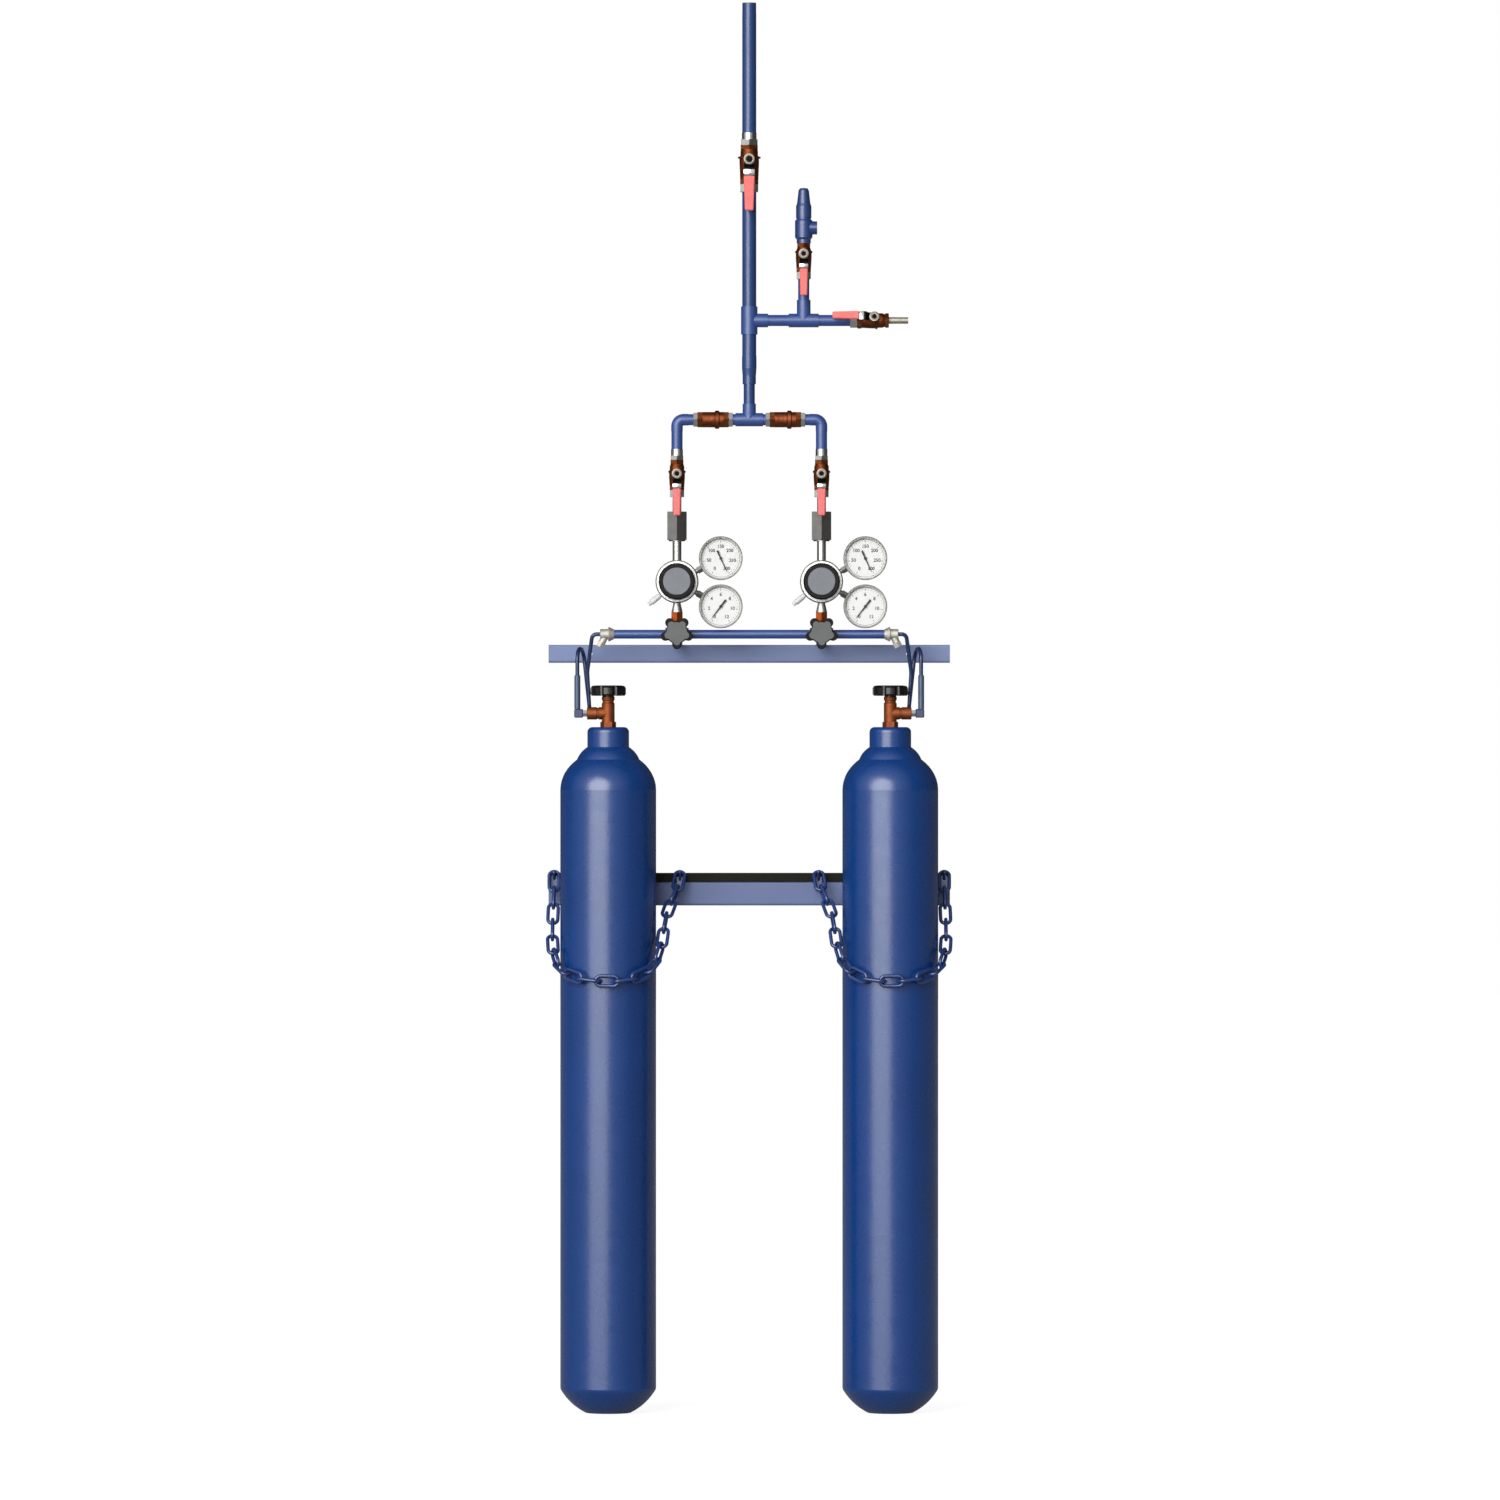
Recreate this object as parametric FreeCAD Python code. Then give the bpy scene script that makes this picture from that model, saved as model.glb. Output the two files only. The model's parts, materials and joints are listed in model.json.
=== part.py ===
import FreeCAD, Part
import math
import os

V = FreeCAD.Vector
os.makedirs("parts", exist_ok=True)

# Frame: X to the right, +Y towards the wall, Z up, millimetres, origin on the floor between the cylinders.

# Running fit on radius, and the slip fit of a pipe in its socket.
RUN = 0.05
SLIP = 0.05

# Gas cylinders.
CYL_X = 338.5
CYL_R = 115.0
CYL_WALL = 6.0
FOOT_RING_IN = 46.0
FOOT_RING_OUT = 54.0
FOOT_DISH = 12.0
FOOT_H = 57.0
SHOULDER_Z = 1494.0
SHOULDER_RISE = 96.5
CREASE_R = 75.0
COLLAR_Z = 1597.0
COLLAR_R = 50.0
COLLAR_H = 48.0
COLLAR_ROUND = 12.0
NECK_R = 30.0
NECK_TOP = 1640.0
NECK_BORE_R = 12.5

# Cylinder valves and their handwheels.
VALVE_OUT_Z = 1678.0
VALVE_OUT_R = 15.0
VALVE_OUT_LEN = 50.9
VALVE_R = 15.5
VALVE_BASE_R = 19.0
VALVE_BASE_H = 18.0
VALVE_TOP = 1718.0
SPINDLE_R = 5.0
WHEEL_R = 42.5
WHEEL_H = 26.9
WHEEL_LOBES = 8

# Pigtails: a bent tube with one turn in it, from each cylinder valve up to the header.
TUBE_R = 4.8
PIG_X = 412.5
PIG_NUT_R = 9.0
PIG_NUT_LEN = 9.6
PIG_BLOCK = 21.0
SLEEVE_R = 7.3
SLEEVE_TOP = 1770.0
PIG_TOP_Z = 1833.0
PIG_LOW_Z = 1684.0
PIG_BACK_Y = 62.0
PIG_MID_Y = 22.0

# Header pipe, its end fittings and the two master valves.
HEADER_Z = 1867.8
PIPE_S = 10.65
PIPE_S_BORE = 7.5
INLET_X = 324.5
INLET_FLARE_LEN = 12.1
INLET_LEN = 33.5
INLET_R = 12.5
LEG_X = 173.4
MASTER_HALF = 28.0
MASTER_R = 15.0
MASTER_FRONT = 38.0
MASTER_TOP = 1900.0
STAR_RISE = 3.7
STAR_REACH = 40.0
STAR_LOBE_R = 11.0
STAR_CORE_R = 27.0
STAR_FACE_IN = 9.5
STAR_THICK = 15.0

# Wall rails, their pad and the brackets that carry the header.
RAIL_HALF = 484.0
RAIL_FRONT = 115.1
RAIL_DEPTH = 35.0
RAIL_SHEET = 3.0
HEADER_RAIL_Z = 1800.5
HEADER_RAIL_H = 43.2
CYL_RAIL_Z = 1215.0
CYL_RAIL_H = 57.0
PAD_H = 21.6
PAD_DEPTH = 20.0
BRACKET_W = 24.0
BRACKET_T = 6.0
BOLT_R = 4.0

# Chains.
LINK_WIRE_R = 4.7
LINK_PITCH = 44.0
LINK_SLACK = 1.05
LINK_OUTER_W = 34.0
CHAIN_R = 134.0
ANCHOR_INSET = 14.0
ANCHOR_PIN_R = 3.5
ANCHOR_Y = 96.0
ANCHOR_Z = 1290.0
ANCHOR_PLATE_T = 3.0
ANCHOR_PLATE_W = 16.0

# Regulators.
INLET_NUT_AF = 27.0
INLET_NUT_H = 21.0
REG_Z = 1994.0
REG_R = 51.6
REG_HALF = 22.0
REG_STEM_R = 9.0
REG_STEM_FLARE = 20.0
REG_TOP_SEAT = 2040.0
REG_KNOB_R = 43.7
REG_FACE_R = 33.0
REG_KNOB_LEN = 28.0
RELIEF_ANGLE = 219.0
RELIEF_REACH = 87.6

# Gauges, all to the right of their regulator.
GAUGE_DX = 105.0
GAUGE_R = 52.5
GAUGE_HIGH_Z = 2050.0
GAUGE_LOW_Z = 1934.5
GAUGE_CASE_R = 50.0
GAUGE_FRONT = 22.0
GAUGE_BACK = 14.0
GAUGE_STEM_AF = 16.0
POINTER_HIGH = -66.0
POINTER_LOW = 232.0

# Arrestors and leg pipes.
ARR_Z = 2091.0
ARR_TOP = 2162.0
ARR_AF = 46.5
SOCKET = 11.0

# Line pipe sizes: medium for the legs and branch, large for the riser.
PIPE_M = 13.45
PIPE_M_BORE = 11.0
PIPE_L = 16.85
PIPE_L_BORE = 14.0

# Collector run, riser and vent branch.
RUN_Z = 2382.7
ELBOW_BEND = 16.0
ELBOW_R = 14.0
ELBOW_LEG = 27.7
FIT_M = 16.0
TEE_HALF = 33.0
TEE_UP = 38.3
CHECK_X = 86.75
CHECK_HALF = 47.25
CHECK_R = 18.5
CHECK_RIDGE_R = 22.0
CHECK_RIDGE_DX = 9.5
REDUCER_Z = 2468.0
REDUCER_H = 67.0
BRANCH_Z = 2620.8
BRANCH_HALF = 33.5
BRANCH_R = 19.8
BRANCH_SIDE = 45.0
VENT_X = 130.7
VENT_HALF = 36.0
VENT_UP = 49.0
FIT_V = 16.5
RISER_TOP = 3383.0
RISER_TURNED_LEN = 25.0

# Ball valves: low end, high end and stem, along the pipe.
LEG_VALVE = (2214.0, 2286.0, 2252.6)
SAFETY_BALL = (2737.0, 2806.0, 2780.0)
VENT_BALL = (259.0, 335.0, 300.0)
MAIN_BALL = (2948.0, 3041.0, 3006.5)
VENT_TILT = 15.0
STEM_BOSS_R = 9.5
RIDGE_RISE = 5.0
LEVER_T = 3.0
LEVER_OUT = 10.0
LEVER_JOGGLE = (15.0, 22.0)
TANG_W = 11.0
GRIP_T = 12.0
SMALL_VALVE = {
    "low_r": 17.0,
    "belly_r": 19.0,
    "ridge_r": 21.0,
    "chest_r": 17.5,
    "high_r": 15.2,
    "ball_r": 14.0,
    "port_r": 8.0,
    "low_nut_af": 34.0,
    "low_nut_h": 17.0,
    "high_nut_af": 30.0,
    "high_nut_h": 10.0,
    "boss_y": 30.0,
    "lever_len": 101.0,
    "lever_w": 20.0,
    "hub_r": 12.2,
    "nut_af": 9.0,
    "grip_len": 65.0,
    "grip_top_w": 20.0,
    "grip_end_w": 17.0,
}
LARGE_VALVE = {
    "low_r": 21.5,
    "belly_r": 23.5,
    "ridge_r": 27.5,
    "chest_r": 21.0,
    "high_r": 20.2,
    "ball_r": 18.0,
    "port_r": 12.0,
    "low_nut_af": 43.0,
    "low_nut_h": 19.0,
    "high_nut_af": 40.0,
    "high_nut_h": 14.0,
    "boss_y": 34.0,
    "lever_len": 124.0,
    "lever_w": 25.0,
    "hub_r": 13.4,
    "nut_af": 13.0,
    "grip_len": 83.0,
    "grip_top_w": 27.0,
    "grip_end_w": 21.0,
}

# Nuts and bands where pipes enter the valves.
BAND_T = 0.8
BAND_H = 16.0
CHECK_NUT_AF = 33.0

# Safety valve and vent nozzle.
SAFETY_OUT_Z = 2843.0
SAFETY_OUT_R = 16.0
SAFETY_OUT_X = 163.0
SAFETY_TURNED_LEN = 8.0
SAFETY_TOP = 2939.0
NOZZLE_R = 8.0
NOZZLE_END = 381.5
NOZZLE_TURNED_LEN = 30.0

# Open ends are turned down by this much on radius, over their mating length.
TURNED_STEP = 0.2


def along(shape, start, direction):
    turned = shape.copy()
    turned.Placement = FreeCAD.Placement(start, FreeCAD.Rotation(V(0, 0, 1), direction))
    return turned


def rod(radius, start, end):
    way = end - start
    return Part.makeCylinder(radius, way.Length, start, way)


def hexagon(across_flats, start, end, turn=0.0):
    corner = across_flats / math.sqrt(3.0)
    points = []
    for i in range(7):
        a = math.radians(60 * i + turn)
        points.append(V(corner * math.cos(a), corner * math.sin(a), 0))
    way = end - start
    prism = Part.Face(Part.makePolygon(points)).extrude(V(0, 0, way.Length))
    return along(prism, start, way)


def chamfered_hexagon(across_flats, start, end, turn=0.0):
    way = end - start
    corner = across_flats / math.sqrt(3.0)
    cut = (corner - across_flats / 2) * 0.8
    outline = [(0, 0), (corner - cut, 0), (corner, cut * 0.6)]
    outline += [(corner, way.Length - cut * 0.6), (corner - cut, way.Length), (0, way.Length)]
    return hexagon(across_flats, start, end, turn).common(turned(outline, start, way))


def turned(outline, start=V(0, 0, 0), direction=V(0, 0, 1)):
    points = [V(r, 0, s) for r, s in outline]
    face = Part.Face(Part.makePolygon(points + [points[0]]))
    return along(face.revolve(V(0, 0, 0), V(0, 0, 1), 360), start, direction)


def box(x, y, z):
    return Part.makeBox(x[1] - x[0], y[1] - y[0], z[1] - z[0], V(x[0], y[0], z[0]))


def fused(*shapes):
    return shapes[0].multiFuse(list(shapes[1:])).removeSplitter()


def mirrored(shape):
    return shape.mirror(V(0, 0, 0), V(1, 0, 0))


def moved(shape, x=0.0, y=0.0, z=0.0):
    copy = shape.copy()
    copy.translate(V(x, y, z))
    return copy


def turned_about(shape, centre, axis, angle):
    copy = shape.copy()
    copy.rotate(centre, axis, angle)
    return copy


def rounded(shape, radius, chosen):
    edges = [e for e in shape.Edges if chosen(e)]
    return shape.makeFillet(radius, edges)


def save(name, *shapes):
    solids = []
    for shape in shapes:
        solids += shape.Solids
    whole = solids[0] if len(solids) == 1 else Part.makeCompound(solids)
    whole.exportStep("parts/" + name + ".step")


def bent_tube(radius, corners, bends):
    edges = []
    here = corners[0]
    for i, bend in enumerate(bends):
        corner = corners[i + 1]
        into = (corner - corners[i]).normalize()
        out = (corners[i + 2] - corner).normalize()
        half = into.getAngle(out) / 2
        reach = bend * math.tan(half)
        first = corner - into * reach
        last = corner + out * reach
        inward = (out - into).normalize()
        centre = corner + inward * (bend / math.cos(half))
        middle = centre - inward * bend
        edges.append(Part.makeLine(here, first))
        edges.append(Part.Arc(first, middle, last).toShape())
        here = last
    edges.append(Part.makeLine(here, corners[-1]))
    path = Part.Wire(edges)
    start = corners[1] - corners[0]
    section = Part.Wire(Part.makeCircle(radius, corners[0], start))
    return Part.Solid(path.makePipeShell([section], True, False))


# Gas cylinders: a spun shell with a dished foot, an elliptic shoulder and a bored neck.
def ellipse_arc(half_width, rise, base_z, from_r, to_r):
    curve = Part.Ellipse(V(half_width, 0, base_z), V(0, 0, base_z + rise), V(0, 0, base_z))
    first = math.acos(from_r / half_width)
    last = math.acos(to_r / half_width)
    return Part.Arc(curve, min(first, last), max(first, last)).toShape()


def cylinder_shell():
    crease_z = SHOULDER_Z + SHOULDER_RISE * math.sqrt(1 - (CREASE_R / CYL_R) ** 2)
    inner_r = CYL_R - CYL_WALL
    inner_rise = SHOULDER_RISE - 1.4 * CYL_WALL
    bore_z = SHOULDER_Z + inner_rise * math.sqrt(1 - (NECK_BORE_R / inner_r) ** 2)
    floor = FOOT_DISH + 1.4 * CYL_WALL
    foot = [V(0, 0, FOOT_DISH), V(FOOT_RING_IN - 8, 0, FOOT_DISH), V(FOOT_RING_IN, 0, 0), V(FOOT_RING_OUT, 0, 0)]
    bulge = V(FOOT_RING_OUT + 0.62 * (CYL_R - FOOT_RING_OUT), 0, 0.47 * FOOT_H)
    rim = V(CYL_R, 0, FOOT_H)
    crease = V(CREASE_R, 0, crease_z)
    seat = V(COLLAR_R, 0, COLLAR_Z)
    skirt = V((CREASE_R + COLLAR_R) / 2 + 2.5, 0, (crease_z + COLLAR_Z) / 2 + 2.0)
    neck = [seat, V(NECK_R, 0, COLLAR_Z), V(NECK_R, 0, NECK_TOP), V(NECK_BORE_R, 0, NECK_TOP), V(NECK_BORE_R, 0, bore_z)]
    inner_rim = V(inner_r, 0, FOOT_H + CYL_WALL)
    inner_ring = V(FOOT_RING_OUT, 0, 2 * CYL_WALL)
    inner_bulge = V(bulge.x - 0.6 * CYL_WALL, 0, bulge.z + 1.3 * CYL_WALL)
    inside = [inner_ring, V(FOOT_RING_IN - 2, 0, 2 * CYL_WALL), V(FOOT_RING_IN - 14, 0, floor), V(0, 0, floor)]
    edges = list(Part.makePolygon(foot).Edges)
    edges.append(Part.Arc(foot[-1], bulge, rim).toShape())
    edges.append(Part.makeLine(rim, V(CYL_R, 0, SHOULDER_Z)))
    edges.append(ellipse_arc(CYL_R, SHOULDER_RISE, SHOULDER_Z, CYL_R, CREASE_R))
    edges.append(Part.Arc(crease, skirt, seat).toShape())
    edges += Part.makePolygon(neck).Edges
    edges.append(ellipse_arc(inner_r, inner_rise, SHOULDER_Z, NECK_BORE_R, inner_r))
    edges.append(Part.makeLine(V(inner_r, 0, SHOULDER_Z), inner_rim))
    edges.append(Part.Arc(inner_rim, inner_bulge, inner_ring).toShape())
    edges += Part.makePolygon(inside).Edges
    edges.append(Part.makeLine(inside[-1], foot[0]))
    face = Part.Face(Part.Wire(Part.sortEdges(edges)[0]))
    shell = face.revolve(V(0, 0, 0), V(0, 0, 1), 360)
    shell = Part.Solid(shell.Shells[0]) if shell.ShapeType != "Solid" else shell
    corner = lambda e: abs(e.BoundBox.ZMin - FOOT_H) < 0.01 and abs(e.BoundBox.XMax - CYL_R) < 0.01 and e.BoundBox.ZLength < 0.01
    return rounded(shell, 14.0, corner)


shell = cylinder_shell()
save("cylinder_left", moved(shell, -CYL_X))
save("cylinder_right", moved(shell, CYL_X))

collar = turned([(NECK_R + SLIP, 0), (COLLAR_R, 0), (COLLAR_R, COLLAR_H), (NECK_R + SLIP, COLLAR_H)], V(0, 0, COLLAR_Z))
collar_top = COLLAR_Z + COLLAR_H
collar = rounded(collar, COLLAR_ROUND, lambda e: e.BoundBox.ZMin > collar_top - 0.01 and e.BoundBox.XMax > COLLAR_R - 0.01)
save("neck_rings", moved(collar, -CYL_X), moved(collar, CYL_X))


# Cylinder valves: shank, spanner base, round body and a threaded outlet that points outward.
def cylinder_valve():
    shank = rod(NECK_BORE_R - SLIP, V(0, 0, NECK_TOP - 34), V(0, 0, NECK_TOP))
    base = chamfered_hexagon(VALVE_BASE_R * math.sqrt(3.0), V(0, 0, NECK_TOP), V(0, 0, NECK_TOP + VALVE_BASE_H))
    body = turned(
        [
            (0, NECK_TOP),
            (VALVE_R, NECK_TOP),
            (VALVE_R, VALVE_TOP - 16),
            (VALVE_R - 2, VALVE_TOP - 14),
            (VALVE_R - 2, VALVE_TOP - 10),
            (VALVE_R, VALVE_TOP - 8),
            (VALVE_R, VALVE_TOP - 1),
            (VALVE_R - 1, VALVE_TOP),
            (0, VALVE_TOP),
        ]
    )
    outlet = turned(
        [
            (0, 0),
            (VALVE_OUT_R, 0),
            (VALVE_OUT_R, 22),
            (VALVE_OUT_R - 1.5, 23.5),
            (VALVE_OUT_R - 1.5, 26.5),
            (VALVE_OUT_R, 28),
            (VALVE_OUT_R, VALVE_OUT_LEN - 1.5),
            (VALVE_OUT_R - 1.5, VALVE_OUT_LEN),
            (0, VALVE_OUT_LEN),
        ],
        V(0, 0, VALVE_OUT_Z),
        V(-1, 0, 0),
    )
    whole = fused(shank, base, body, outlet)
    inlet = rod(4.0, V(0, 0, NECK_TOP - 34), V(0, 0, VALVE_OUT_Z))
    port = rod(4.0, V(0, 0, VALVE_OUT_Z), V(-VALVE_OUT_LEN, 0, VALVE_OUT_Z))
    cup = rod(PIG_NUT_R - 1 + SLIP, V(-VALVE_OUT_LEN + 6, 0, VALVE_OUT_Z), V(-VALVE_OUT_LEN, 0, VALVE_OUT_Z))
    spindle_hole = rod(SPINDLE_R + RUN, V(0, 0, VALVE_OUT_Z + 8), V(0, 0, VALVE_TOP))
    return moved(whole.cut(fused(inlet, port, cup)).cut(spindle_hole), -CYL_X)


valve = cylinder_valve()
save("cylinder_valves", valve, mirrored(valve))


# Handwheels: a scalloped rim on a thin web, with the spindle below.
def handwheel():
    low = VALVE_TOP + 0.1
    top = low + WHEEL_H
    profile = [
        (0, low),
        (14, low),
        (14, low + 8),
        (WHEEL_R - 12, low + 10),
        (WHEEL_R - 12, low + 4),
        (WHEEL_R - 3, low + 2),
        (WHEEL_R, low + 6),
        (WHEEL_R, top - 6),
        (WHEEL_R - 4, top - 1),
        (WHEEL_R - 12, top),
        (14, top - 5),
        (12, top - 2),
        (0, top - 2),
    ]
    wheel = turned(profile)
    for i in range(WHEEL_LOBES):
        a = math.radians(360 * (i + 0.5) / WHEEL_LOBES)
        place = V((WHEEL_R + 4) * math.cos(a), (WHEEL_R + 4) * math.sin(a), low - 1)
        wheel = wheel.cut(Part.makeCylinder(8.0, WHEEL_H + 2, place))
    spindle = rod(SPINDLE_R, V(0, 0, VALVE_OUT_Z + 10), V(0, 0, low + 2))
    return fused(wheel, spindle)


wheel = handwheel()
save("handwheel_left", moved(wheel, -CYL_X))
save("handwheel_right", moved(wheel, CYL_X))

# Pigtails: coupling nut, elbow block with the bent tube, and a crimped sleeve.
outlet_end = -(CYL_X + VALVE_OUT_LEN)
nut_end = outlet_end - PIG_NUT_LEN
axis_z = VALVE_OUT_Z
nut = fused(
    hexagon(PIG_NUT_R * math.sqrt(3.0), V(outlet_end, 0, axis_z), V(nut_end, 0, axis_z), 30),
    rod(PIG_NUT_R - 1, V(outlet_end + 6, 0, axis_z), V(outlet_end, 0, axis_z)),
).cut(rod(3.0, V(outlet_end + 7, 0, axis_z), V(nut_end, 0, axis_z)))
save("pigtail_nuts", nut, mirrored(nut))

half = PIG_BLOCK / 2
block = box((nut_end - PIG_BLOCK, nut_end), (-half, half), (axis_z - half, axis_z + half))
block = block.makeChamfer(2.0, block.Edges)
PIG_PATH = [
    V(-PIG_X, 0, axis_z),
    V(-PIG_X, 0, PIG_TOP_Z),
    V(-PIG_X + 13, PIG_BACK_Y, PIG_TOP_Z),
    V(-PIG_X + 29, PIG_BACK_Y - 2, PIG_LOW_Z),
    V(-PIG_X + 29, PIG_MID_Y, PIG_LOW_Z),
    V(-PIG_X + 23.5, PIG_MID_Y - 6, PIG_LOW_Z + 93),
    V(-PIG_X + 36, 0, HEADER_Z),
    V(-(INLET_X + INLET_LEN - 10), 0, HEADER_Z),
]
tube = bent_tube(TUBE_R, PIG_PATH, [28.0, 30.0, 17.0, 17.0, 60.0, 12.0])
pigtail = fused(block, tube)
save("pigtail_left", pigtail)
save("pigtail_right", mirrored(pigtail))

sleeve_low = axis_z + half
sleeve = turned(
    [
        (TUBE_R + SLIP, sleeve_low),
        (SLEEVE_R, sleeve_low),
        (SLEEVE_R, SLEEVE_TOP - 3),
        (SLEEVE_R - 1.5, SLEEVE_TOP),
        (TUBE_R + SLIP, SLEEVE_TOP),
    ],
    V(-PIG_X, 0, 0),
)
save("pigtail_sleeves", sleeve, mirrored(sleeve))


# Header end fittings: a flared socket, a round body and a capped spare port that slants down.
def header_inlet():
    flare = INLET_FLARE_LEN
    outline = [
        (0, 0),
        (PIPE_S + 1.2, 0),
        (17.5, flare),
        (17.5, flare + 1),
        (INLET_R, flare + 2.5),
        (INLET_R, INLET_LEN - 1.5),
        (INLET_R - 1.5, INLET_LEN),
        (0, INLET_LEN),
    ]
    body = turned(outline, V(-INLET_X, 0, HEADER_Z), V(-1, 0, 0))
    root = V(-INLET_X - 19, 0, HEADER_Z)
    way = V(-0.45, 0, -0.893).normalize()
    arm = rod(8.5, root, root + way * 24)
    cap = chamfered_hexagon(19.0, root + way * 22, root + way * 34, 30)
    whole = fused(body, arm, cap)
    socket = rod(PIPE_S + SLIP, V(-INLET_X + 1, 0, HEADER_Z), V(-INLET_X - SOCKET, 0, HEADER_Z))
    bore = rod(4.0, V(-INLET_X, 0, HEADER_Z), V(-INLET_X - INLET_LEN, 0, HEADER_Z))
    port = rod(TUBE_R + SLIP, V(-INLET_X - INLET_LEN + 10, 0, HEADER_Z), V(-INLET_X - INLET_LEN - 1, 0, HEADER_Z))
    spare = rod(4.0, root, root + way * 24)
    return whole.cut(fused(socket, bore, port, spare))


inlet = header_inlet()
save("header_inlets", inlet, mirrored(inlet))


# Pipes are plain tubes from socket to socket.
def pipe(radius, bore, start, end):
    return rod(radius, start, end).cut(rod(bore, start, end))


master_seat = MASTER_HALF - 10
outer_header = pipe(PIPE_S, PIPE_S_BORE, V(-INLET_X - SOCKET, 0, HEADER_Z), V(-LEG_X - master_seat, 0, HEADER_Z))
inner_header = pipe(PIPE_S, PIPE_S_BORE, V(-LEG_X + master_seat, 0, HEADER_Z), V(LEG_X - master_seat, 0, HEADER_Z))
save("header_pipes", outer_header, inner_header, mirrored(outer_header))


# Master valves: a cross body with a foot on its bracket and a bonnet to the front.
bracket_top = HEADER_RAIL_Z + HEADER_RAIL_H + BRACKET_T
star_z = HEADER_Z + STAR_RISE


def master_valve(x):
    c = V(x, 0, HEADER_Z)
    run = rod(MASTER_R, c - V(MASTER_HALF, 0, 0), c + V(MASTER_HALF, 0, 0))
    core = Part.makeSphere(18.0, c)
    top = rod(11.0, c, V(x, 0, MASTER_TOP))
    foot = rod(9.0, V(x, 0, bracket_top), c)
    bonnet = turned(
        [(0, 0), (15, 0), (15, 26), (12, 29), (12, MASTER_FRONT - 1), (11, MASTER_FRONT), (0, MASTER_FRONT)],
        V(x, 0, star_z),
        V(0, -1, 0),
    )
    whole = fused(run, core, top, foot, bonnet)
    sockets = rod(PIPE_S + SLIP, c - V(MASTER_HALF, 0, 0), c - V(master_seat, 0, 0)).fuse(
        rod(PIPE_S + SLIP, c + V(master_seat, 0, 0), c + V(MASTER_HALF, 0, 0))
    )
    bore = rod(PIPE_S_BORE, c - V(MASTER_HALF, 0, 0), c + V(MASTER_HALF, 0, 0))
    riser = rod(4.0, c, V(x, 0, MASTER_TOP))
    cup = rod(7.0, V(x, 0, MASTER_TOP - 8), V(x, 0, MASTER_TOP))
    stem = rod(SPINDLE_R + RUN, V(x, -9, star_z), V(x, -MASTER_FRONT, star_z))
    screw = rod(2.5 + SLIP, V(x, 0, bracket_top), V(x, 0, bracket_top + 7))
    return whole.cut(fused(sockets, bore, riser, cup)).cut(stem).cut(screw)


save("master_valve_bodies", master_valve(-LEG_X), master_valve(LEG_X))


# Star knobs: five lobes round a core, one lobe straight down, with a raised front plate of the same shape.
def star(x, back, thick, inset):
    lobes = [Part.makeCylinder(STAR_CORE_R - inset / 4, thick, V(x, back, star_z), V(0, -1, 0))]
    for i in range(5):
        a = math.radians(270 + 72 * i)
        r = STAR_REACH - STAR_LOBE_R - inset * 0.75
        place = V(x + r * math.cos(a), back, star_z + r * math.sin(a))
        lobes.append(Part.makeCylinder(STAR_LOBE_R - inset / 4, thick, place, V(0, -1, 0)))
    return fused(*lobes)


def star_knob(x):
    back = -MASTER_FRONT - 0.1
    front = back - STAR_THICK
    knob = star(x, back, STAR_THICK, 0)
    knob = rounded(knob, 2.0, lambda e: e.BoundBox.YMax < front + 0.01)
    plate = star(x, front + 3, 5, STAR_FACE_IN)
    stem = rod(SPINDLE_R, V(x, -11, star_z), V(x, back - 1, star_z))
    return fused(knob, plate, stem)


save("star_knob_left", star_knob(-LEG_X))
save("star_knob_right", star_knob(LEG_X))


# Rails: sheet channels that open to the wall, with wall bolt holes behind the pigtails and cylinders.
def channel(z, height, hole_x):
    back = RAIL_FRONT + RAIL_DEPTH
    outer = box((-RAIL_HALF, RAIL_HALF), (RAIL_FRONT, back), (z, z + height))
    corner = lambda e: e.BoundBox.XLength > RAIL_HALF and e.BoundBox.YMax < RAIL_FRONT + 0.01
    outer = rounded(outer, 2.0 * RAIL_SHEET, corner)
    hollow = box((-RAIL_HALF, RAIL_HALF), (RAIL_FRONT + RAIL_SHEET, back + 1), (z + RAIL_SHEET, z + height - RAIL_SHEET))
    corner = lambda e: e.BoundBox.XLength > RAIL_HALF and e.BoundBox.YMax < RAIL_FRONT + RAIL_SHEET + 0.01
    hollow = rounded(hollow, RAIL_SHEET, corner)
    rail = outer.cut(hollow)
    for x in (-hole_x, hole_x):
        rail = rail.cut(rod(WALL_HOLE_R, V(x, RAIL_FRONT - 1, z + height / 2), V(x, back, z + height / 2)))
    return rail


WALL_HOLE_R = 4.5
WALL_HOLE_X = 382.8
rail_top = HEADER_RAIL_Z + HEADER_RAIL_H
header_rail = channel(HEADER_RAIL_Z, HEADER_RAIL_H, WALL_HOLE_X)
cylinder_rail = channel(CYL_RAIL_Z, CYL_RAIL_H, CYL_X)
pad = box((-RAIL_HALF, RAIL_HALF), (RAIL_FRONT, RAIL_FRONT + PAD_DEPTH), (CYL_RAIL_Z + CYL_RAIL_H, CYL_RAIL_Z + CYL_RAIL_H + PAD_H))

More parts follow.
